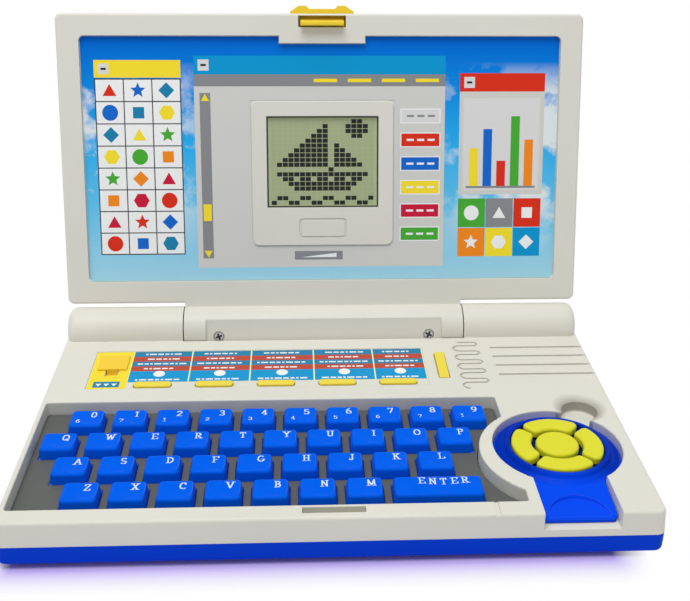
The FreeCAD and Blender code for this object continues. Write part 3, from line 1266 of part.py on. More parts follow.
# Latch: a plate in the lid, a ridged grip above the top edge and a barbed hook through the bezel
def lid_latch():
    body = new_body("lid_latch")
    plate = sketch_on(body, "LatchPlate", offset=f"{LATCH_TOP} - latch_plate")
    rectangle(plate, "-latch_top_width / 2", "latch_top_width / 2",
              f"{LID_TOP} - latch_plate_length", LID_TOP)
    pad(body, plate, "latch_plate")
    grip = sketch_on(body, "LatchGrip", offset=f"{GRIP_FRONT} - latch_grip_depth")
    top = f"{LID_TOP} + latch_height"
    profile = [("latch_width / 2", f"{LID_TOP} - latch_foot"), ("latch_width / 2", f"{LID_TOP} + latch_foot"),
               ("latch_top_width / 2", top), ("latch_valley_width / 2 + latch_valley", top),
               ("latch_valley_width / 2", f"{top} - latch_valley")]
    mirrored = [(f"-({x})", y) for x, y in reversed(profile)]
    polygon(grip, profile + mirrored)
    pad(body, grip, "latch_grip_depth")
    hook = sketch_on(body, "LatchHook", "YZ_Plane")
    nose = f"{HOOK_LOW} + hook_thickness"
    heel = f"{HOOK_LOW} + hook_block"
    root = f"{LATCH_TOP} - latch_plate"
    tip = f"{LID_FACE} + hook_reach"
    barb = f"{tip} - hook_barb_height"
    polygon(hook, [(HOOK_LOW, root), (heel, root), (heel, PICTURE_FLOOR), (nose, LID_FACE), (nose, barb),
                   (f"{nose} + hook_barb", barb), (nose, tip), (f"{HOOK_LOW} + hook_taper", tip)])
    pad(body, hook, "hook_width", both=True)
    stand_on_hinge(body)


base_top_case()
base_bottom_case()
battery_door()
keyboard_plate()
key_mat()
electronics()
keys()
deck_buttons()
mode_selector()
mouse_case()
pad_buttons()
lid_front_bezel()
lid_back_cover()
lcd_panel()
lid_latch()
doc.recompute()

failed = [thing.Name for thing in doc.Objects if "Invalid" in thing.State or "Error" in thing.State]
failed += [thing.Label for thing in sub_parts if thing.Shape.isNull() or not thing.Shape.isValid()
           or min(solid.Volume for solid in thing.Shape.Solids) <= 0]
if failed:
    raise RuntimeError("these did not build: " + ", ".join(failed))

os.makedirs("parts", exist_ok=True)
for thing in sub_parts:
    thing.Shape.exportStep(f"parts/{thing.Label}.step")
print(f"wrote {len(sub_parts)} sub-parts")
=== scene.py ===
# %% [markdown]
# # A toy laptop, from bare solids to a studio picture
# The solids of the toy come in as a fixed frame: cases, keys, buttons and the hinged lid, all in
# metres and already in place. Nothing here moves them. Each step adds one finish or one printed
# piece, says what it is on the real toy, and prints what it made.

# %% Load the frame
import json
import math
import bmesh
import bpy
from mathutils import Matrix, Vector


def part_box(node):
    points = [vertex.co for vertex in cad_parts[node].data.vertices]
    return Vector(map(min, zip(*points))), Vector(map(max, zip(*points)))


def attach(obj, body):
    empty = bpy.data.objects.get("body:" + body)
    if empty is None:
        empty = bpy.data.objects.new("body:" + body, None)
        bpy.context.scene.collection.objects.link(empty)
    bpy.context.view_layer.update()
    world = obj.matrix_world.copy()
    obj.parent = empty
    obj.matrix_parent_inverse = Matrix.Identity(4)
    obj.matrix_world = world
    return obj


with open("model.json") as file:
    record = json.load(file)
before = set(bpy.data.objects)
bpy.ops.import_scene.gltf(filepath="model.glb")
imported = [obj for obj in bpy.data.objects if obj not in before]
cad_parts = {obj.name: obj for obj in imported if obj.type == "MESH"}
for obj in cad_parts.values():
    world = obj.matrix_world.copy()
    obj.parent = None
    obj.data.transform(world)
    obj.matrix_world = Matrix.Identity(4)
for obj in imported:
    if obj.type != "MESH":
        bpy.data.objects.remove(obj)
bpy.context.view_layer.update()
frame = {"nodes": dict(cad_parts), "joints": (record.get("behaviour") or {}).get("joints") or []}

MM = 0.001
nodes = frame["nodes"]
bpy.context.view_layer.update()

# %% [markdown]
# ## Writing shader maths as plain sums
# A procedural finish is a handful of numbers that change over the surface. Wiring Math nodes by
# hand hides the idea, so a small class stands for one socket: adding or multiplying two of them
# adds the Math node that does it. Colours and vectors keep their own nodes, because a Math node
# would turn a colour grey.

# %% A socket that can be used in a sum
class Wire:
    """One output socket of a node tree, used like a number."""

    def __init__(self, tree, socket=None):
        self.tree = tree
        self.socket = socket

    def node(self, kind, settings=None, values=None, out=0):
        """Adds a node: its settings first, then the values or links of its sockets."""
        made = self.tree.nodes.new(kind)
        for name, setting in (settings or {}).items():
            if name == "stops":
                self.set_stops(made.color_ramp, setting)
            else:
                setattr(made, name, setting)
        for name, value in (values or {}).items():
            if isinstance(value, Wire):
                self.tree.links.new(value.socket, made.inputs[name])
            else:
                made.inputs[name].default_value = value
        return Wire(self.tree, made.outputs[out])

    def set_stops(self, ramp, stops):
        while len(ramp.elements) < len(stops):
            ramp.elements.new(1)
        for element, (position, colour) in zip(ramp.elements, stops):
            element.position = position
            element.color = colour

    def math(self, operation, first, second, clamp=False):
        settings = {"operation": operation, "use_clamp": clamp}
        return self.node("ShaderNodeMath", settings, {0: first, 1: second})

    def __add__(self, other):
        return self.math("ADD", self, other)

    def __sub__(self, other):
        return self.math("SUBTRACT", self, other)

    def __rsub__(self, other):
        return self.math("SUBTRACT", other, self)

    def __mul__(self, other):
        return self.math("MULTIPLY", self, other)

    def __truediv__(self, other):
        return self.math("DIVIDE", self, other)

    __radd__ = __add__
    __rmul__ = __mul__

    def clamped(self):
        return self.math("ADD", self, 0, clamp=True)

    def at_least(self, other):
        return self.math("MAXIMUM", self, other)

    def mix(self, low, high):
        """The colour low where this is 0, and high where it is 1."""
        return self.node("ShaderNodeMix", {"data_type": "RGBA"}, {0: self, 6: low, 7: high}, out=2)

    def tinted(self, other):
        """This colour multiplied by another."""
        settings = {"data_type": "RGBA", "blend_type": "MULTIPLY"}
        return self.node("ShaderNodeMix", settings, {0: 1.0, 6: self, 7: other}, out=2)

    def place(self):
        """Where a point lies in the frame of its own piece."""
        return self.node("ShaderNodeTexCoord", out="Object")

    def part(self, axis):
        return self.node("ShaderNodeSeparateXYZ", None, {0: self}, out=axis)

    def noise(self, scale, detail, **more):
        """A noise over this place, with about so many patches to the metre."""
        values = {"Vector": self, "Scale": scale, "Detail": detail, **more}
        return self.node("ShaderNodeTexNoise", None, values)


def ink(red, green, blue):
    """A colour as it looks on paper, 0 to 255, turned into the linear light that shaders use."""
    shares = [value / 255 for value in (red, green, blue)]
    return [s / 12.92 if s <= 0.04045 else ((s + 0.055) / 1.055) ** 2.4 for s in shares] + [1]


def new_finish(name, **constants):
    """An empty material: the tree as a Wire, its shader, and the constants set on the shader."""
    material = bpy.data.materials.new(name)
    material.use_nodes = True
    tree = material.node_tree
    shader = tree.nodes["Principled BSDF"]
    for socket, value in constants.items():
        shader.inputs[socket.replace("_", " ")].default_value = value
    return material, Wire(tree), shader


def feed(shader, **wires):
    for socket, wire in wires.items():
        wire.tree.links.new(wire.socket, shader.inputs[socket.replace("_", " ")])


print("mid grey, 128 of 255, in linear light:", round(ink(128, 128, 128)[0], 3))

# %% [markdown]
# ## Moulded plastic
# Every case and key is injection-moulded plastic. Seen close up it is not one flat colour: the
# dye drifts slowly over a hand's width, the skin has a fine spark-eroded grain, handling leaves
# patches that are a little duller, and every edge has a small radius that catches the light. The
# drift and the dull patches are two noises and the grain is a bump. Edges could be rounded in the
# mesh, but a Bevel node bends the normals instead, so the solids keep their shape and face count.
# The light that the edges catch is also painted in, as a paler colour mixed in where the normals bend.

# %% One function for all moulded plastics
DRIFT_SCALE, HANDLING_AND_HIGHLIGHT_SCALE, GRAIN_SCALE, GRAIN_DEPTH = 24, 75, 2400, 0.04
HIGHLIGHT_GAIN, HANDLED_GLOSS, DRIFT_GLOSS = 6, 0.22, 0.08


def moulded(name, colour, roughness=0.38, grain=0.10, drift=0.05, edge=0.35, pale_edge=0.06, shine=0.25):
    """A moulded plastic: slow colour drift, gloss that varies with handling, fine grain, soft edges with a
    painted highlight that makes them paler.
    """
    material, tree, shader = new_finish(name, Specular_IOR_Level=shine)
    place = tree.place()
    slow = place.noise(DRIFT_SCALE, 3)
    handling_and_highlight = place.noise(HANDLING_AND_HIGHLIGHT_SCALE, 5)
    skin = place.noise(GRAIN_SCALE, 2)
    soft = tree.node("ShaderNodeBevel", {"samples": 6}, {"Radius": edge * MM})
    flat = tree.node("ShaderNodeNewGeometry", out="Normal")
    bend = tree.node("ShaderNodeVectorMath", {"operation": "DOT_PRODUCT"}, {0: soft, 1: flat}, out="Value")
    # Painted highlight: where the bent normals turn away, and in the handled patches, the edge colour is
    # mixed towards a paler one.
    edge_highlight = ((1 - bend) * HIGHLIGHT_GAIN).clamped() * handling_and_highlight
    darker = [value * (1 - drift) for value in colour[:3]] + [1]
    lighter = [min(1, value * (1 + drift * 0.5)) for value in colour[:3]] + [1]
    highlight_colour = [value + (1 - value) * pale_edge * 2 for value in colour[:3]] + [1]
    body = edge_highlight.mix(slow.mix(darker, lighter), highlight_colour)
    gloss = roughness + (handling_and_highlight - 0.5) * HANDLED_GLOSS + (slow - 0.5) * DRIFT_GLOSS
    relief = {"Strength": grain, "Distance": GRAIN_DEPTH * MM, "Height": skin, "Normal": soft}
    bump = tree.node("ShaderNodeBump", None, relief)
    feed(shader, Base_Color=body, Roughness=gloss, Normal=bump)
    return material


print("a moulded skin is at most", GRAIN_DEPTH, "mm deep")

# %% [markdown]
# ## The plastics of this toy
# The cases are off-white, the tray a strong blue, the keys a lighter and glossier blue, and the
# thumb pads, buttons, selector and latch are yellows. A finish could be given to each solid by name,
# but every solid comes in with a slot name on it, so one dictionary from slot to finish dresses all.

# %% Dress the solids
FINISHES = {
    "deck_white": moulded("white_deck", ink(225, 224, 212), roughness=0.42),
    "lid_white": moulded("white_lid", ink(223, 222, 211), roughness=0.42),
    "back_white": moulded("white_back", ink(223, 222, 211), roughness=0.44, grain=0.2),
    "tray_blue": moulded("blue_tray", ink(8, 66, 212), roughness=0.34, shine=0.02),
    "plate_grey": moulded("grey_plate", ink(94, 96, 93), roughness=0.55, grain=0.3),
    "mat_rubber": moulded("grey_rubber", ink(96, 97, 98), roughness=0.7),
    "board_green": moulded("green_board", ink(24, 92, 52), roughness=0.5),
    "lcd_glass": moulded("display_ground", ink(178, 188, 146), roughness=0.25, drift=0.1),
    "latch_yellow": moulded("yellow_latch", ink(242, 209, 54), roughness=0.35, shine=0.15),
    "mouse_blue": moulded("blue_mouse", ink(6, 77, 243), roughness=0.3, shine=0.02),
    "selector_yellow": moulded("yellow_selector", ink(250, 210, 60), roughness=0.35, shine=0.15),
    "button_yellow": moulded("yellow_button", ink(244, 222, 76), roughness=0.35, shine=0.15),
    "key_blue": moulded("blue_key", ink(0, 98, 240), roughness=0.28, edge=0.5, pale_edge=0.14, shine=0.015),
    "pad_yellow": moulded("yellow_pad", ink(226, 224, 48), roughness=0.42, edge=0.6, shine=0.15),
}
for node in nodes.values():
    for slot in node.material_slots:
        slot.material = FINISHES[slot.material.name]
print("finishes:", len(FINISHES))

# %% [markdown]
# ## Painted shade in gaps, walls and grooves
# Narrow gaps, steep walls and shallow grooves swallow light, and the mouse's head gets a darker blue as
# painted shade. This is easier to paint than to light: a mask worked out from the place on the solid
# mixes a darker colour into a finish as painted shade.

# %% Where the gaps and grooves lie
def middle_of(name):
    """The middle of a solid seen from above, in millimetres."""
    low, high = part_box(name)
    return [(low[axis] + high[axis]) / 2 / MM for axis in (0, 1)]


MOUSE_X, MOUSE_Y = middle_of("pad_centre")
PAD_REACH, HEAD_REACH = 18.0, 25.0
TAIL_EDGE, TAIL_FADE = -59.0, 10.0
SCOOP_X, SCOOP_Y, SCOOP_REACH = 107.6, -6.2, 11.8
SCOOP_FLOOR, SCOOP_RIM, SCOOP_FADE = 13.1, 19.8, 2.0
GROOVE_TOP, GROOVE_FADE = 19.9, 0.2
GROOVE_LEFT, GROOVE_RIGHT, GROOVE_FRONT, GROOVE_REAR = 56.0, 121.0, 8.0, 56.0
print("middle of the mouse's head in mm:", [round(value, 2) for value in (MOUSE_X, MOUSE_Y)])

# %% Masks for the mouse, the scoop and the grooves
def within(value, low, high):
    return (value - low).clamped() * (high - value).clamped()


def round_patch(x, y, radius):
    """1 well inside a circle about the origin and 0 outside it."""
    return ((radius * radius - x * x - y * y) / radius).clamped()


def mouse_head(x, y, z):
    behind_tail = ((y - TAIL_EDGE) / TAIL_FADE).clamped()
    return round_patch(x - MOUSE_X, y - MOUSE_Y, HEAD_REACH) * behind_tail


def between_pads(x, y, z):
    return round_patch(x - MOUSE_X, y - MOUSE_Y, PAD_REACH)


def scoop_wall(x, y, z):
    steep = (z - SCOOP_FLOOR).clamped() * ((SCOOP_RIM - z) / SCOOP_FADE).clamped()
    return steep * round_patch(x - SCOOP_X, y - SCOOP_Y, SCOOP_REACH)


def groove_shade(x, y, z):
    low = ((GROOVE_TOP - z) / GROOVE_FADE).clamped()
    return low * within(x, GROOVE_LEFT, GROOVE_RIGHT) * within(y, GROOVE_FRONT, GROOVE_REAR)


print("masks fade over, in mm:", GROOVE_FADE, SCOOP_FADE, TAIL_FADE)

# %% Paint over part of a finish
PAINTS = [
    # Painted shade: the mouse's head a darker blue, and the gaps between its pads darker still.
    ("mouse_blue", ink(0, 50, 182), mouse_head),
    ("mouse_blue", ink(10, 44, 110), between_pads),
    ("deck_white", ink(172, 171, 156), scoop_wall),
    # Painted shade in the shallow grooves of the deck.
    ("deck_white", ink(202, 200, 188), groove_shade),
]


def paint_over(material, colour, mask_of):
    """Mixes a colour into a finish where the mask, worked out from the place, is 1."""
    tree = Wire(material.node_tree)
    shader = material.node_tree.nodes["Principled BSDF"]
    plain = Wire(tree.tree, shader.inputs["Base Color"].links[0].from_socket)
    place = tree.place()
    x, y, z = (place.part(axis) / MM for axis in "XYZ")
    feed(shader, Base_Color=mask_of(x, y, z).mix(plain, colour))


for slot, colour, mask_of in PAINTS:
    paint_over(FINISHES[slot], colour, mask_of)
print("painted tones:", len(PAINTS))

# %% [markdown]
# ## Thin printed slabs
# The picture round the display, the card on the deck and the key letters are all ink on a smooth
# face. An image would be the usual way, but a shape drawn as mesh stays sharp at any distance.
# Each patch of ink is a closed slab, a few hundredths of a millimetre thick at most, laid on the
# one below, and its colour is stored on the mesh so that one material prints every ink.

# %% Outlines and walls
def oblong(left, right, front, rear):
    return [(left, front), (right, front), (right, rear), (left, rear)]


def ring_of(x, y, radius, corners, turn=0.0, inner=None):
    """A regular outline, or a star where every second corner lies on the inner radius."""
    count = corners * (2 if inner else 1)
    reach = [inner if inner and step % 2 else radius for step in range(count)]
    angles = [math.radians(turn) + 2 * math.pi * step / count for step in range(count)]
    return [(x + r * math.cos(a), y + r * math.sin(a)) for r, a in zip(reach, angles)]


def wall_between(shape, lower, upper):
    """A ring of faces between two loops with as many points."""
    sides = []
    for here in range(len(lower)):
        after = (here + 1) % len(lower)
        sides.append(shape.faces.new((lower[here], lower[after], upper[after], upper[here])))
    return sides


def new_object(name, shape, material, place=Matrix()):
    """Puts a finished shape into the scene with one material."""
    mesh = bpy.data.meshes.new(name)
    shape.to_mesh(mesh)
    shape.free()
    mesh.materials.append(material)
    made = bpy.data.objects.new(name, mesh)
    bpy.context.collection.objects.link(made)
    made.matrix_world = place
    return made


print("corners of a five-pointed star:", len(ring_of(0, 0, 1, 5, inner=0.5)))

# %% A stack of printed patches
INK_THICKNESS = 0.012


class Stack:
    """Printed patches on one flat base, gathered into a single mesh."""

    def __init__(self, base):
        self.base = base
        self.shape = bmesh.new()
        self.inks = self.shape.loops.layers.float_color.new("ink")

    def patch(self, outline, colour, layer=1, thickness=INK_THICKNESS):
        low = self.base + (layer - 1) * INK_THICKNESS
        floor = [self.shape.verts.new((x * MM, y * MM, low * MM)) for x, y in outline]
        roof = [self.shape.verts.new((x * MM, y * MM, (low + thickness) * MM)) for x, y in outline]
        self.close(floor, roof, colour)

    def close(self, floor, roof, colour):
        """Joins two matching loops of points into a closed slab of one ink."""
        ends = [self.shape.faces.new(roof), self.shape.faces.new(floor[::-1])]
        for face in ends + wall_between(self.shape, floor, roof):
            for corner in face.loops:
                corner[self.inks] = colour

    def piece(self, name, body, material, place=Matrix()):
        """The finished mesh as an object that rides on a body."""
        made = new_object(name, self.shape, material, place)
        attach(made, body)
        return made


print("one layer of ink in mm:", INK_THICKNESS)

# %% Ink
ROLLER_SCALE = 160


def printed(name, roughness, mottle=0.06):
    """Ink from the mesh, with the slight unevenness of a printing roller."""
    material, tree, shader = new_finish(name, Specular_IOR_Level=0.15)
    colour = tree.node("ShaderNodeVertexColor", {"layer_name": "ink"}, out="Color")
    uneven = tree.place().noise(ROLLER_SCALE, 4)
    shade = (uneven * mottle * 2).mix((1, 1, 1, 1), (1 - mottle, 1 - mottle, 1 - mottle, 1))
    feed(shader, Base_Color=colour.tinted(shade), Roughness=roughness + (uneven - 0.5) * 0.2)
    return material


GLOSS_PRINT = printed("gloss_print", 0.35)
INKS = {
    "white": ink(244, 246, 243), "black": ink(38, 40, 44), "grey": ink(212, 212, 206),
    "dark": ink(138, 140, 142), "silver": ink(222, 222, 220), "blue": ink(18, 104, 205),
    "sky": ink(0, 152, 210), "red": ink(222, 48, 24), "yellow": ink(250, 226, 50),
    "green": ink(72, 172, 52), "orange": ink(246, 140, 30), "crimson": ink(205, 24, 60),
    "teal": ink(26, 130, 172), "cream": ink(244, 250, 186), "brick": ink(192, 72, 52),
}
print("inks:", len(INKS))

# %% [markdown]
# ## The sky sheet in the lid
# The lid holds a glossy paper sheet: a summer sky that fades from deep blue to pale blue with white
# clouds at its sides. The sheet stops around the raised display frame and the latch landing, so it is
# built from the cells of a grid that leaves those two gaps open. A painted image could be laid on it.
# Here the sky is a ramp over the sheet's height and the clouds are a noise that is let through only
# near the sides, so no file has to come along with the script.

# %% Where the lid stands
hinge = next(joint for joint in frame["joints"] if joint["name"] == "lid_hinge")
LID_TILT = 180 + hinge["range_deg"][0]
LID = Matrix.Translation(hinge["pos_m"]) @ Matrix.Rotation(math.radians(LID_TILT), 4, "X")
SHEET_SIDE, SHEET_LOW, SHEET_HIGH = 111.8, 23.4, 137.7
FRAME_SIDE, FRAME_LOW, FRAME_HIGH = 33.9, 39.7, 108.7
LANDING_SIDE, LANDING_LOW = 20.3, 134.3
SHEET_FLOOR, SHEET_THICKNESS = -1.5, 0.2
SHEET_TOP = SHEET_FLOOR + SHEET_THICKNESS
print("lid stands at", LID_TILT, "degrees")

# %% Sky finish
CLOUD_EDGE, CLOUD_FADE, CLOUD_SCALE = 48.0, 25.0, 34
CLOUD_LEVEL, CLOUD_GAIN, CLOUD_INK = 0.47, 12, ink(236, 240, 236)
CLOUD_TOP, CLOUD_FOOT = 0.9, 0.1
FIBRE_SCALE = 900


def sky_paper():
    """Paper with a sky over its height and clouds near its sides."""
    material, tree, shader = new_finish("sky_paper", Specular_IOR_Level=0.05)
    place = tree.place()
    height = (place.part("Y") / MM - SHEET_LOW) / (SHEET_HIGH - SHEET_LOW)
    aside = tree.node("ShaderNodeMath", {"operation": "ABSOLUTE"}, {0: place.part("X") / MM})
    stops = [(0, ink(168, 220, 238)), (0.3, ink(104, 200, 240)), (0.55, ink(46, 178, 240)),
             (0.8, ink(12, 140, 228)), (1, ink(0, 102, 210))]
    sky = tree.node("ShaderNodeValToRGB", {"stops": stops}, {0: height}, out="Color")
    puffs = place.noise(CLOUD_SCALE, 8, Roughness=0.6)
    below_top = ((CLOUD_TOP - height) * 8).clamped()
    above_foot = ((height - CLOUD_FOOT) * 4).clamped()
    near_side = ((aside - CLOUD_EDGE) / CLOUD_FADE).clamped()
    cloud = ((puffs - CLOUD_LEVEL) * CLOUD_GAIN).clamped() * near_side * below_top * above_foot
    body = (cloud * 0.9).mix(sky, CLOUD_INK)
    fibre = place.noise(FIBRE_SCALE, 3)
    feed(shader, Base_Color=body, Roughness=0.34 + (fibre - 0.5) * 0.12)
    return material


print("clouds lie more than", CLOUD_EDGE, "mm from the middle")

# %% Sky sheet
def sheet_cells():
    """Cells of a grid over the sheet, without those in the display frame and the latch landing."""
    across = [-SHEET_SIDE, -FRAME_SIDE, -LANDING_SIDE, LANDING_SIDE, FRAME_SIDE, SHEET_SIDE]
    along = [SHEET_LOW, FRAME_LOW, FRAME_HIGH, LANDING_LOW, SHEET_HIGH]
    cells = []
    for left, right in zip(across, across[1:]):
        for low, high in zip(along, along[1:]):
            in_frame = abs(left + right) < 2 * FRAME_SIDE and low >= FRAME_LOW and high <= FRAME_HIGH
            in_landing = abs(left + right) < 2 * LANDING_SIDE and low >= LANDING_LOW
            if not (in_frame or in_landing):
                cells.append(oblong(left, right, low, high))
    return cells


def sky_sheet():
    """The cells as one welded slab: a face below and above each, and a wall along every open edge."""
    shape = bmesh.new()
    cells = sheet_cells()
    floor, roof = {}, {}
    for x, y in dict.fromkeys(point for cell in cells for point in cell):
        floor[x, y] = shape.verts.new((x * MM, y * MM, SHEET_FLOOR * MM))
        roof[x, y] = shape.verts.new((x * MM, y * MM, SHEET_TOP * MM))
    for cell in cells:
        shape.faces.new([roof[point] for point in cell])
        shape.faces.new([floor[point] for point in reversed(cell)])
    edges = [edge for cell in cells for edge in zip(cell, cell[1:] + cell[:1])]
    for here, after in edges:
        if (after, here) not in edges:
            shape.faces.new((floor[here], floor[after], roof[after], roof[here]))
    sheet = new_object("sky_sheet", shape, sky_paper(), LID)
    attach(sheet, "lid")
    return sheet


print("sky sheet faces:", len(sky_sheet().data.polygons))

# %% [markdown]
# ## Windows printed on the sky
# Over the sky the sheet shows a make-believe computer screen. This one is a plain design of its own:
# a chart of simple shapes on the left, a grey window with coloured push buttons round the display,
# and a bar chart with colour tiles on the right. Every patch could be placed by hand, but rows and
# columns from loops keep the gaps even, so only the shapes and inks are listed.

# %% Shape chart
CHART_INKS = ["red", "green", "blue", "orange", "teal", "crimson", "yellow"]
desktop = Stack(SHEET_TOP)


def bar_with_box(left, right, low, high, colour):
    """A title bar with one small closing box near its left end."""
    inset, share, half_stroke = 2.0, 0.6, 0.5
    size = (high - low) * share
    start = left + inset
    middle = (low + high) / 2
    desktop.patch(oblong(left, right, low, high), INKS[colour])
    desktop.patch(oblong(start, start + size, middle - size / 2, middle + size / 2), INKS["silver"], 2)
    stroke = oblong(start + size / 4, start + size * 3 / 4, middle - half_stroke, middle + half_stroke)
    desktop.patch(stroke, INKS["black"], 3)


def simple_shape(number, x, y, size):
    """One of six plain outlines in turn."""
    forms = [
        ring_of(x, y, size, 24), ring_of(x, y - 0.2 * size, size, 3, 90), ring_of(x, y, size, 4, 45),
        ring_of(x, y, size, 5, 90, 0.45 * size), ring_of(x, y, size, 6), ring_of(x, y, size, 4, 90),
    ]
    return forms[number % len(forms)]


def shape_chart(left=-106.0, right=-66.0, low=36.0, high=127.0, columns=3, rows=8):
    """A title bar over a ruled grid with one shape in each box."""
    title, gap, line, share = 8.0, 0.4, 0.5, 0.36
    top = high - title - gap
    wide = (right - left - line) / columns
    tall = (top - low - line) / rows
    bar_with_box(left, right, high - title, high, "yellow")
    desktop.patch(oblong(left, right, low, top), INKS["black"])
    for column in range(columns):
        for row in range(rows):
            x = left + line + column * wide
            y = low + line + row * tall
            desktop.patch(oblong(x, x + wide - line, y, y + tall - line), INKS["white"], 2)
            middle = (x + (wide - line) / 2, y + (tall - line) / 2)
            outline = simple_shape(row + 2 * column, *middle, share * tall)
            colour = CHART_INKS[(5 * row + 2 * column) % len(CHART_INKS)]
            desktop.patch(outline, INKS[colour], 3)


shape_chart()
print("shape chart faces:", len(desktop.shape.faces))

# %% Window round the display
WINDOW = {"left": -60.0, "right": 58.0, "low": 29.5, "high": 129.0}


def display_window(left, right, low, high):
    """A title bar, a strip with four tabs, and grey panels on all sides of the display frame."""
    title, strip = 8.5, 5.5
    tab_inset, tab_pitch, tab_long, tab_low, tab_high = 14.0, 16.0, 11.0, 3.6, 2.0
    under = high - title
    bar_with_box(left, right, under, high, "sky")
    desktop.patch(oblong(left, right, under - strip, under), INKS["dark"])
    for tab in range(4):
        start = right - tab_inset - tab_pitch * tab
        desktop.patch(oblong(start, start + tab_long, under - tab_low, under - tab_high), INKS["yellow"], 2)
    panels = [
        oblong(left, right, FRAME_HIGH, under - strip),
        oblong(left, right, low, FRAME_LOW),
        oblong(left, -FRAME_SIDE, FRAME_LOW, FRAME_HIGH),
        oblong(FRAME_SIDE, right, FRAME_LOW, FRAME_HIGH),
    ]
    for outline in panels:
        desktop.patch(outline, INKS["grey"])


display_window(**WINDOW)
print("faces with the display window:", len(desktop.shape.faces))

# %% Push buttons, slide bar and wedge
BUTTON_INKS = ["green", "crimson", "yellow", "blue", "red", "silver"]


def push_button(left, right, low, colour):
    """A button with a white edge and a row of three dashes."""
    tall, edge = 7.0, 0.5
    dash_inset, dash_pitch, dash_long, dash_low, dash_high = 3.0, 5.0, 3.4, 3.0, 4.0
    face = oblong(left + edge, right - edge, low + edge, low + tall - edge)
    shade = "dark" if colour == "silver" else "white"
    desktop.patch(oblong(left, right, low, low + tall), INKS["white"], 2)
    desktop.patch(face, INKS[colour], 3)
    for dash in range(3):
        x = left + dash_inset + dash_pitch * dash
        desktop.patch(oblong(x, x + dash_long, low + dash_low, low + dash_high), INKS[shade], 4)


def button_column(right):
    """Buttons between the display frame and the right edge of the window."""
    frame_gap, edge_gap, foot, pitch = 3.0, 2.0, 2.0, 11.2
    for number, colour in enumerate(BUTTON_INKS):
        push_button(FRAME_SIDE + frame_gap, right - edge_gap, FRAME_LOW + foot + pitch * number, colour)


def slide_bar(left=-57.5, right=-52.5, low=34.0, high=112.0):
    """A dark strip with an arrow at each end and a knob."""
    inset, size, edge = 2.6, 2.2, 0.6
    knob_low, knob_high = 52.0, 60.0
    x = (left + right) / 2
    desktop.patch(oblong(left, right, low, high), INKS["dark"], 2)
    for y, turn in ((high - inset, 90), (low + inset, 270)):
        desktop.patch(ring_of(x, y, size, 3, turn), INKS["yellow"], 3)
    desktop.patch(oblong(left + edge, right - edge, knob_low, knob_high), INKS["yellow"], 3)


def contrast_mark(left=-13.7, right=9.4, low=33.0, high=37.2):
    """The strip below the display frame: a plain wedge from thin to thick."""
    inset, foot, head = 3.0, 1.2, 1.0
    wedge = [(left + inset, low + foot), (right - inset, low + foot), (right - inset, high - head)]
    desktop.patch(oblong(left, right, low, high), INKS["dark"], 2)
    desktop.patch(wedge, INKS["white"], 3)


button_column(WINDOW["right"])
slide_bar()
contrast_mark()
print("faces with the buttons:", len(desktop.shape.faces))

# %% Bar chart and tiles
CHART = {"left": 65.0, "right": 105.5, "low": 64.0, "high": 121.0}
BARS = {"yellow": 18, "blue": 27, "red": 12, "green": 33, "orange": 22}
TILE_INKS = ["orange", "yellow", "sky", "green", "dark", "red"]
TILES_LOW = 34.0


def bar_chart(left, right, low, high):
    """A title bar, a pale panel, and bars that stand on one line."""
    title, margin, head, foot = 8.5, 2.0, 3.0, 4.0
    bar_inset, bar_pitch, bar_wide = 5.0, 6.6, 4.2
    line_inset, line = 3.5, 1.0
    panel = oblong(left + margin, right - margin, low + margin, high - title - head)
    bar_with_box(left, right, high - title, high, "red")
    desktop.patch(oblong(left, right, low, high - title), INKS["grey"])
    desktop.patch(panel, INKS["silver"], 2)
    for number, (colour, tall) in enumerate(BARS.items()):
        x = left + bar_inset + bar_pitch * number
        desktop.patch(oblong(x, x + bar_wide, low + foot, low + foot + tall), INKS[colour], 3)
    ground = oblong(left + line_inset, right - line_inset, low + foot - line, low + foot)
    desktop.patch(ground, INKS["dark"], 3)


def shape_tiles(left, low, columns=3):
    """Coloured tiles below the chart, each with a white shape."""
    pitch_x, pitch_y, gap = 13.5, 14.2, 0.4
    mark_x, mark_y, mark_size = 6.5, 6.9, 3.6
    for number, colour in enumerate(TILE_INKS):
        x = left + pitch_x * (number % columns)
        y = low + pitch_y * (number // columns)
        mark = simple_shape(number + 3, x + mark_x, y + mark_y, mark_size)
        desktop.patch(oblong(x, x + pitch_x - gap, y, y + pitch_y - gap), INKS[colour])
        desktop.patch(mark, INKS["white"], 2)


bar_chart(**CHART)
shape_tiles(CHART["left"], TILES_LOW)
desktop_piece = desktop.piece("desktop_print", "lid", GLOSS_PRINT, LID)
print("desktop print faces:", len(desktop_piece.data.polygons))

# %% [markdown]
# ## The picture on the display
# The display is a grey-green glass behind which square dots turn nearly black. It shows a small boat
# here. A picture of rows of text is the shortest way to draw on such a grid, and each dot is a slab
# with a hair of light between it and the next. Dots that are off still show as a faint tint.

# %% Picture of the display
BOAT = [
    "..............##..",
    ".........#...####.",
    "........##...####.",
    ".......###....##..",
    "......####........",
    ".....#####.#......",
    "....######.##.....",
    "...#######.###....",
    "..########.####...",
    ".#########.#####..",
    "..........#.......",
    ".################.",
    "..##.##.##.##.##..",
    "...############...",
    "....##########....",
    "..................",
    ".##..##..##..##..#",
    "#..##..##..##..##.",
]
print("dark dots:", sum(line.count("#") for line in BOAT))

# %% Border and dots of the display
GLASS_FACE = -2.1
DISPLAY_SIDE, DISPLAY_LOW, DISPLAY_HIGH, BORDER = 26.5, 58.2, 101.2, 0.7
DOT_WIDE, DOT_TALL, DOT_GAP, DOT_THICKNESS = 2.72, 2.26, 0.26, 0.03
DOT_INKS = {"#": ink(34, 40, 36), ".": ink(168, 178, 138)}
BORDER_INK = ink(58, 62, 52)
dots = Stack(GLASS_FACE)


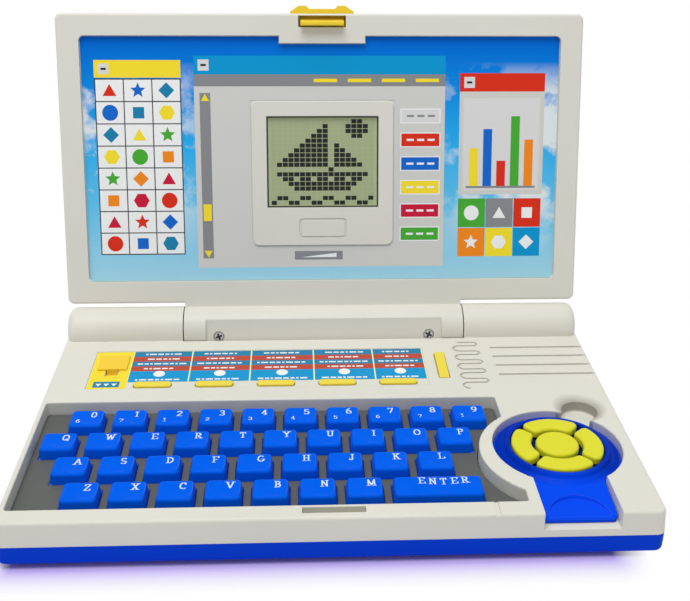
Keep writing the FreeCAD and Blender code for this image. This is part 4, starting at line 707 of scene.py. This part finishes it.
def display_border():
    """Four dark strips round the dots."""
    inner_low, inner_high = DISPLAY_LOW + BORDER, DISPLAY_HIGH - BORDER
    for bottom, top in ((DISPLAY_LOW, inner_low), (inner_high, DISPLAY_HIGH)):
        dots.patch(oblong(-DISPLAY_SIDE, DISPLAY_SIDE, bottom, top), BORDER_INK)
    for first in (-DISPLAY_SIDE, DISPLAY_SIDE - BORDER):
        dots.patch(oblong(first, first + BORDER, inner_low, inner_high), BORDER_INK)


def dot_grid():
    """One slab per mark of the picture, dark or faint."""
    middle = (DISPLAY_LOW + DISPLAY_HIGH) / 2
    for row, line in enumerate(BOAT):
        for column, mark in enumerate(line):
            x = (column - len(line) / 2) * DOT_WIDE
            y = middle + (len(BOAT) / 2 - 1 - row) * DOT_TALL
            outline = oblong(x, x + DOT_WIDE - DOT_GAP, y, y + DOT_TALL - DOT_GAP)
            dots.patch(outline, DOT_INKS[mark], thickness=DOT_THICKNESS)


display_border()
dot_grid()
dots_piece = dots.piece("display_dots", "lid", printed("display_dot_film", 0.3), LID)
print("display faces:", len(dots_piece.data.polygons))

# %% [markdown]
# ## The activity card on the deck
# A printed card lies in a shallow recess behind the keys: a yellow end panel under the selector and
# five blue and red columns, one behind each tab. It could be one image on one sheet. Built as patches,
# the panel can leave the selector's slot open and the columns can end at the tabs. Each column has a
# white disc and rows of dashes, and pale lines part the columns.

# %% Selector panel of the card
CARD_FLOOR, CARD_PAPER = 19.6, 0.12
CARD_LEFT, CARD_RIGHT, CARD_LOW, CARD_HIGH = -105.5, 45.3, 14.5, 48.0
SLOT_LEFT, SLOT_RIGHT, SLOT_LOW, SLOT_HIGH = -99.5, -93.3, 25.9, 37.3
PANEL_RIGHT = -88.5
OVER = 1 + CARD_PAPER / INK_THICKNESS
card = Stack(CARD_FLOOR)


def selector_panel():
    """Yellow panel in four strips round the selector's slot, with a bar of three arrow heads."""
    arrow_bar = oblong(-103.0, -91.5, 16.0, 21.0)
    arrow_first, arrow_pitch, arrow_height, arrow_size = -100.6, 3.4, 18.5, 1.5
    strips = [
        oblong(CARD_LEFT, PANEL_RIGHT, CARD_LOW, SLOT_LOW),
        oblong(CARD_LEFT, PANEL_RIGHT, SLOT_HIGH, CARD_HIGH),
        oblong(CARD_LEFT, SLOT_LEFT, SLOT_LOW, SLOT_HIGH),
        oblong(SLOT_RIGHT, PANEL_RIGHT, SLOT_LOW, SLOT_HIGH),
    ]
    for outline in strips:
        card.patch(outline, INKS["yellow"], thickness=CARD_PAPER)
    card.patch(arrow_bar, INKS["teal"], OVER)
    for step in range(3):
        head = ring_of(arrow_first + arrow_pitch * step, arrow_height, arrow_size, 3, 270)
        card.patch(head, INKS["white"], OVER + 1)


selector_panel()
print("selector panel faces:", len(card.shape.faces))

# %% Columns of the card
TAB_EDGE = 20.2
COLUMN_EDGES = [PANEL_RIGHT, -61.5, -34.3, -5.5, 22.0, CARD_RIGHT]
COLUMN_LINE = 0.3
STRIPE_INKS = ["sky", "brick", "teal", "brick", "teal"]
STRIPE_EDGES = [TAB_EDGE, 30.0, 34.4, 38.8, 43.2, CARD_HIGH]
DISC_HEIGHT, DISC_RADIUS, DISC_CORNERS = 27.4, 2.6, 28
DASH_ROWS = [(22.2, 0.75), (32.2, 0.55), (36.6, 0.8), (41.0, 0.5), (45.6, 0.6)]
DASH_HALF, DASH_SHORT, DASH_STEP, DASH_GAP = 0.55, 1.1, 0.7, 0.7


def dashes(middle, y, seed, length):
    """A row of short dashes with uneven lengths."""
    x = middle - length / 2
    step = seed
    while x < middle + length / 2 - 1:
        wide = DASH_SHORT + DASH_STEP * (step % 4)
        card.patch(oblong(x, x + wide, y - DASH_HALF, y + DASH_HALF), INKS["white"], OVER + 1)
        x += wide + DASH_GAP
        step += 3


def activity_column(number, left, right):
    """Coloured stripes on cream paper, with a white disc and rows of dashes."""
    card.patch(oblong(left, right, TAB_EDGE, CARD_HIGH), INKS["cream"], thickness=CARD_PAPER)
    for colour, low, high in zip(STRIPE_INKS, STRIPE_EDGES, STRIPE_EDGES[1:]):
        card.patch(oblong(left + COLUMN_LINE, right - COLUMN_LINE, low, high), INKS[colour], OVER)
    middle = (left + right) / 2
    card.patch(ring_of(middle, DISC_HEIGHT, DISC_RADIUS, DISC_CORNERS), INKS["white"], OVER + 1)
    for step, (y, share) in enumerate(DASH_ROWS):
        dashes(middle, y, number + step, share * (right - left))


for number, (left, right) in enumerate(zip(COLUMN_EDGES, COLUMN_EDGES[1:])):
    activity_column(number, left, right)
card_piece = card.piece("activity_card", "base", GLOSS_PRINT)
print("card faces:", len(card_piece.data.polygons))

# %% [markdown]
# ## Letters on the keys
# The letters are white pad print in a bookish face: thick upright strokes, thin level ones, and short
# feet. A font could be turned into a mesh, but it would lie flat over a dished key. A broad pen gives
# the same look from a few strokes. Its nib is wider than it is tall, so the area that a stroke covers
# is the hull of the nib at both ends, and every point is dropped onto the key below it before the ink
# gets its thickness.

# %% The pen and its letters
STROKES = {
    "A": "0,0 3.2,10 6.4,0; 1.3,3.6 5.1,3.6",
    "B": "1,0 1,10; 1,10 2,10; 1,5.2 2,5.2; 1,0 2,0; @2,7.6,2.8,2.4,90,-90; @2,2.6,3.4,2.6,90,-90",
    "C": "@3.4,5,3.2,5,50,310; 5.6,9.6 5.6,7.2",
    "D": "1,0 1,10; 1,0 1.8,0; 1,10 1.8,10; @1.8,5,4.4,5,90,-90",
    "E": "1,0 1,10; 1,10 5.8,10 5.8,8; 1,5 4.2,5; 1,0 6,0 6,2.2",
    "F": "1,0 1,10; 1,10 5.8,10 5.8,8; 1,5 4.2,5",
    "G": "@3.4,5,3.2,5,50,325; 4.4,4.2 6.6,4.2; 6,4.2 6,1", "H": "1,0 1,10; 5.6,0 5.6,10; 1,5 5.6,5",
    "I": "2,0 2,10", "J": "4,10 4,2.6; @2.4,2.6,1.6,2.6,0,-170",
    "K": "1,0 1,10; 1,4.2 5.6,10; 2.6,6.2 6,0", "L": "1,0 1,10; 1,0 5.8,0 5.8,2.4",
    "M": "0.8,0 0.8,10 4,1 7.2,10 7.2,0", "N": "0.8,0 0.8,10 5.8,0 5.8,10", "O": "@3.4,5,3.2,5,0,360",
    "P": "1,0 1,10; 1,10 2,10; 1,4.6 2,4.6; @2,7.3,3.4,2.7,90,-90",
    "Q": "@3.4,5,3.2,5,0,360; 3.6,2.4 6.4,-1",
    "R": "1,0 1,10; 1,10 2,10; 1,4.6 2,4.6; 3,4.6 6.2,0; @2,7.3,3.4,2.7,90,-90",
    "S": "@3,7.4,2.3,2.6,35,270; @3,2.4,2.6,2.4,90,-145", "T": "3.2,0 3.2,10; 0.4,8 0.4,10 6,10 6,8",
    "U": "1,10 1,3; 5.6,3 5.6,10; @3.3,3,2.3,3,180,360", "V": "0,10 3.1,0 6.2,10",
    "W": "0,10 2,0 4,9 6,0 8,10", "X": "0.4,0 5.8,10; 0.4,10 5.8,0",
    "Y": "0.2,10 3.1,5 6,10; 3.1,5 3.1,0", "Z": "0.6,8 0.6,10 5.6,10 0.4,0 5.8,0 5.8,2.2",
    "0": "@3,5,2.6,5,0,360", "1": "3,0 3,10; 3,9.6 1.4,8.4",
    "2": "@2.9,7.4,2.4,2.6,165,-35; 4.8,5.9 0.6,0.3 5.6,0.3",
    "3": "@2.8,7.5,2.3,2.5,150,-90; @2.8,2.6,2.6,2.6,90,-150", "4": "4.2,0 4.2,10 0.4,3 5.8,3",
    "5": "5.2,9.8 1.2,9.8 1,5.6; @2.8,3.1,2.7,3.1,130,-150",
    "6": "@3,3.1,2.5,3.1,0,360; @4.6,3.6,4.1,6.4,95,180", "7": "0.6,8.2 0.6,9.8 5.6,9.8 2.4,0.3",
    "8": "@3,7.5,2.1,2.5,0,360; @3,2.6,2.5,2.6,0,360",
    "9": "@3,6.9,2.5,3.1,0,360; @1.4,6.4,4.1,6.4,0,-85",
}
CAP_HEIGHT, NIB_WIDE, NIB_TALL, SERIF = 10.0, 0.72, 0.34, 1.35
ARC_STEP, FEWEST_STEPS = 24, 4


def pen_path(text):
    """The points of one stroke: straight runs, or part of an oval written after an @ sign."""
    if not text.startswith("@"):
        return [tuple(float(value) for value in pair.split(",")) for pair in text.split()]
    x, y, wide, tall, start, end = (float(value) for value in text[1:].split(","))
    steps = max(FEWEST_STEPS, round(abs(end - start) / ARC_STEP))
    turns = [math.radians(start + (end - start) * step / steps) for step in range(steps + 1)]
    return [(x + wide * math.cos(a), y + tall * math.sin(a)) for a in turns]


def strokes_of(letter):
    """Pairs of points that the pen joins, with feet under the upright ends of a letter."""
    pairs = []
    for text in STROKES[letter].split(";"):
        path = pen_path(text.strip())
        pairs += list(zip(path, path[1:]))
        if text.strip().startswith("@"):
            continue
        for (x, y), (_, beyond) in ((path[0], path[1]), (path[-1], path[-2])):
            if y in (0, CAP_HEIGHT) and y != beyond:
                pairs.append(((x - SERIF, y), (x + SERIF, y)))
    return pairs


print("letters and digits:", len(STROKES))

# %% Print a letter on a key
from mathutils.geometry import convex_hull_2d

PRINT_THICKNESS, LAYER_STEP, DROP_FROM = 0.04, 0.003, 100
LEGEND_INK = ink(222, 233, 252)


def width_of(letter):
    xs = [x for pair in strokes_of(letter) for x, y in pair]
    return min(xs), max(xs)


def pen_print(stack, letter, x, y, unit, under):
    """Draws a letter centred on x, y with the given size of one unit, on the solid under it."""
    left, right = width_of(letter)
    for number, stroke in enumerate(strokes_of(letter)):
        corners = [Vector((px + dx, py + dy)) for px, py in stroke
                   for dx in (-NIB_WIDE, NIB_WIDE) for dy in (-NIB_TALL, NIB_TALL)]
        hull = [corners[index] for index in convex_hull_2d(corners)]
        floor, roof = [], []
        for point in hull:
            px = (x + (point.x - (left + right) / 2) * unit) * MM
            py = (y + (point.y - CAP_HEIGHT / 2) * unit) * MM
            _, spot, _, _ = under.ray_cast((px, py, DROP_FROM * MM), (0, 0, -1))
            rise = (PRINT_THICKNESS + number * LAYER_STEP) * MM
            floor.append(stack.shape.verts.new((px, py, spot.z)))
            roof.append(stack.shape.verts.new((px, py, spot.z + rise)))
        stack.close(floor, roof, LEGEND_INK)


print("widest letter in pen units:", max(right - left for left, right in map(width_of, STROKES)))

# %% Letters for every key
LETTER_UNIT, NOTE_UNIT = 0.37, 0.25
LETTER_ASIDE, LETTER_UP = 2.6, 2.7
NOTE_ASIDE, NOTE_DOWN = -3.2, -2.7
WORD_PITCH, WORD_ASIDE = 4.2, 2.2
NOTES, FIRST_NOTE_KEY = 7, 2
white_print = printed("white_pad_print", 0.45)
for name, node in nodes.items():
    if not name.startswith("key_") or name == "key_mat":
        continue
    x, y = middle_of(name)
    legend = name[len("key_"):].upper()
    stack = Stack(0)
    for place, letter in enumerate(legend):
        from_middle = place - (len(legend) - 1) / 2
        along = LETTER_ASIDE if len(legend) == 1 else WORD_ASIDE + WORD_PITCH * from_middle
        pen_print(stack, letter, x + along, y + LETTER_UP, LETTER_UNIT, node)
    if legend.isdigit():
        note = str((int(legend) - FIRST_NOTE_KEY) % NOTES + 1)
        pen_print(stack, note, x + NOTE_ASIDE, y + NOTE_DOWN, NOTE_UNIT, node)
    stack.piece("legend_" + legend.lower(), name, white_print)

# %% [markdown]
# ## Screws in the hinge
# Two cross-head screws hold the lid's hinge barrel together. Each head is a low dome with a cross cut
# into it. A Boolean with a second solid could cut it. Here the outline of the cross is drawn first, the
# face is filled between it and the rim, and the cross is then sunk, so no second solid is needed.

# %% Cross-head screw
HEAD_RADIUS, HEAD_RISE = 2.35, 0.8
CROSS_REACH, CROSS_HALF, CROSS_DEPTH, CROSS_TAPER = 1.6, 0.46, 0.6, 0.8
TURNING_SCALE = 1500
HEAD_INK, CROSS_SHADE_INK = ink(214, 214, 212), ink(62, 62, 64)


def screw_metal():
    """Bright metal with fine turning marks, and a painted shade in the cross taken from colours stored on
    the mesh.
    """
    material, tree, shader = new_finish("zinc_screw", Metallic=0.6)
    colour = tree.node("ShaderNodeVertexColor", {"layer_name": "ink"}, out="Color")
    turned = tree.place().noise(TURNING_SCALE, 4)
    marks = turned.mix(ink(200, 202, 204), ink(250, 250, 250))
    feed(shader, Base_Color=colour.tinted(marks), Roughness=0.3 + turned * 0.2)
    return material


def cross_outline():
    """One arm of the cross, turned by a quarter three times."""
    arm = [(CROSS_REACH, -CROSS_HALF), (CROSS_REACH, CROSS_HALF), (CROSS_HALF, CROSS_HALF)]
    points = []
    for _ in range(4):
        points += arm
        arm = [(-y, x) for x, y in arm]
    return points


def head_dome(shape, steps=36):
    """The closed side of the head, ring by ring. Gives back the points of its rim."""
    rings = [(HEAD_RADIUS, 0.0), (HEAD_RADIUS, 0.55 * HEAD_RISE), (0.9 * HEAD_RADIUS, 0.85 * HEAD_RISE),
             (0.75 * HEAD_RADIUS, HEAD_RISE)]
    loops = []
    for radius, height in rings:
        outline = ring_of(0, 0, radius, steps)
        loops.append([shape.verts.new((x * MM, y * MM, height * MM)) for x, y in outline])
    for lower, upper in zip(loops, loops[1:]):
        wall_between(shape, lower, upper)
    shape.faces.new(loops[0][::-1])
    return loops[-1]


def sunk_cross(shape, rim):
    """Fills the head between its rim and a cross, and sinks the cross. Gives back its lowest points."""
    low = HEAD_RISE - CROSS_DEPTH
    brim = [shape.verts.new((x * MM, y * MM, HEAD_RISE * MM)) for x, y in cross_outline()]
    narrow = CROSS_TAPER * MM
    pit = [shape.verts.new((x * narrow, y * narrow, low * MM)) for x, y in cross_outline()]
    edges = []
    for loop in (rim, brim):
        for here, after in zip(loop, loop[1:] + loop[:1]):
            edges.append(shape.edges.get((here, after)) or shape.edges.new((here, after)))
    bmesh.ops.triangle_fill(shape, edges=edges, use_beauty=True)
    wall_between(shape, brim, pit)
    shape.faces.new(pit)
    return pit


print("corners of the cross:", len(cross_outline()))

# %% Two screws in the barrel
ZINC = screw_metal()
SCREW_ASIDE, SCREW_DROP, SCREW_SEAT = 50.3, -2.4, 7.8


def cross_screw(name, body, place):
    shape = bmesh.new()
    inks = shape.loops.layers.float_color.new("ink")
    pit = sunk_cross(shape, head_dome(shape))
    # The faces of the sunk cross are coloured dark as painted shade, and the rest of the head keeps the
    # metal's colour.
    for face in shape.faces:
        cut = any(corner in pit for corner in face.verts)
        for corner in face.loops:
            corner[inks] = CROSS_SHADE_INK if cut else HEAD_INK
    bmesh.ops.recalc_face_normals(shape, faces=shape.faces[:])
    screw = new_object(name, shape, ZINC, place)
    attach(screw, body)


for name, aside, turn in (("hinge_screw_left", -SCREW_ASIDE, 20), ("hinge_screw_right", SCREW_ASIDE, 65)):
    seat = Matrix.Translation(Vector((aside, SCREW_DROP, SCREW_SEAT)) * MM)
    cross_screw(name, "lid", LID @ seat @ Matrix.Rotation(math.radians(turn), 4, "Z"))
print("screw seats in mm from the middle:", SCREW_ASIDE)

# %% [markdown]
# ## Floor, light and camera
# The toy stands on a plain white sweep under soft studio light. A white floor under plain light would
# come out pale grey, and more light would bleach the toy. So what the camera sees of the floor is
# partly a glow of strength 1, which is white. It shows in mirrored light, but doesn't light the toy.
# It fades out in front of the tray, where the sheet takes the shadow, and the paper there is painted lilac
# as painted shade with some of the tray's blue in it.

# %% Paper of the sweep
SHADE_STRIP = ((-0.118, -0.081), (0.104, -0.05))
SHADE_REACH = 0.014
SHADE_INK = ink(206, 188, 240)
SWEEP_SCALE = 300


def seen_rays(tree):
    """1 for rays that show the background: straight from the camera, mirrored or through glass."""
    kinds = ["Is Camera Ray", "Is Glossy Ray", "Is Transmission Ray"]
    camera, glossy, through = (tree.node("ShaderNodeLightPath", out=kind) for kind in kinds)
    return (camera + glossy + through).clamped()


def distance_from(place, low, high):
    """How far a point of the floor lies from a rectangle, in metres."""
    gaps = []
    for axis, first, last in zip("XY", low, high):
        along = place.part(axis)
        outside = (along - last).at_least(first - along).at_least(0)
        gaps.append(outside * outside)
    return place.math("SQRT", gaps[0] + gaps[1], 0)


def sweep_paper():
    """White paper that glows for the camera, apart from a shaded strip in front of the tray."""
    material, tree, shader = new_finish("white_sweep", Roughness=0.9)
    place = tree.place()
    fibre = place.noise(SWEEP_SCALE, 4)
    away = (distance_from(place, *SHADE_STRIP) / SHADE_REACH).clamped()
    lit = fibre.mix(ink(243, 243, 247), ink(249, 249, 252))
    # Painted shade: near the tray the paper's colour turns lilac, which stands in for the shadow's tint and
    # the tray's blue.
    feed(shader, Base_Color=away.mix(SHADE_INK, lit))
    glow = tree.node("ShaderNodeEmission", None, {"Strength": 1.0})
    surface = Wire(tree.tree, shader.outputs[0])
    both = tree.node("ShaderNodeMixShader", None, {0: seen_rays(tree) * away, 1: surface, 2: glow})
    tree.tree.links.new(both.socket, tree.tree.nodes["Material Output"].inputs["Surface"])
    return material


print("shade fades over, in mm:", round(SHADE_REACH / MM))

# %% Floor
FLOOR_HALF, FLOOR_DROP = 6.0, 0.0002


def floor_sheet():
    """A wide flat sheet, a hair below the underside of the tray."""
    shape = bmesh.new()
    bmesh.ops.create_grid(shape, x_segments=4, y_segments=4, size=FLOOR_HALF)
    floor = new_object("floor", shape, sweep_paper(), Matrix.Translation((0, 0, -FLOOR_DROP)))
    return floor


print("floor width in metres:", 2 * floor_sheet().data.vertices[-1].co.x)

# %% Light
AMBIENT = 0.38


def soft_box(name, place, aim, size, watts):
    """A round lamp at a place, turned towards what it lights."""
    light = bpy.data.lights.new(name, "AREA")
    light.shape = "DISK"
    light.size = size
    light.energy = watts
    lamp = bpy.data.objects.new(name, light)
    bpy.context.collection.objects.link(lamp)
    lamp.location = place
    lamp.rotation_euler = (Vector(aim) - Vector(place)).to_track_quat("-Z", "Y").to_euler()


world = bpy.data.worlds.new("studio")
bpy.context.scene.world = world
world.use_nodes = True
studio = Wire(world.node_tree)
background = world.node_tree.nodes["Background"]
background.inputs["Color"].default_value = (1, 1, 1, 1)
feed(background, Strength=seen_rays(studio) * (1 - AMBIENT) + AMBIENT)
soft_box("key_light", place=(-0.15, -0.25, 1.30), aim=(0, 0, 0.05), size=0.9, watts=12)
bpy.context.scene.view_settings.view_transform = "Standard"

# %% Camera
CAMERA_PLACE = Vector((-12.41, -383.79, 254.74)) * MM
PITCH, YAW, ROLL = (math.radians(angle) for angle in (25.837, 2.861, -0.673))
SENSOR_WIDTH, LENS = 36, 54.52
ahead = Vector((math.sin(YAW) * math.cos(PITCH), math.cos(YAW) * math.cos(PITCH), -math.sin(PITCH)))
level = Vector((math.cos(YAW), -math.sin(YAW), 0))
down = ahead.cross(level)
right = math.cos(ROLL) * level + math.sin(ROLL) * down
up = math.sin(ROLL) * level - math.cos(ROLL) * down
camera = bpy.data.objects.new("camera", bpy.data.cameras.new("camera"))
bpy.context.collection.objects.link(camera)
camera.data.sensor_fit = "HORIZONTAL"
camera.data.sensor_width = SENSOR_WIDTH
camera.data.lens = LENS
turned = Matrix((right, up, -ahead)).transposed().to_4x4()
camera.matrix_world = Matrix.Translation(CAMERA_PLACE) @ turned
bpy.context.scene.camera = camera
print("camera to hinge in mm:", round((camera.location - Vector(hinge["pos_m"])).length / MM))
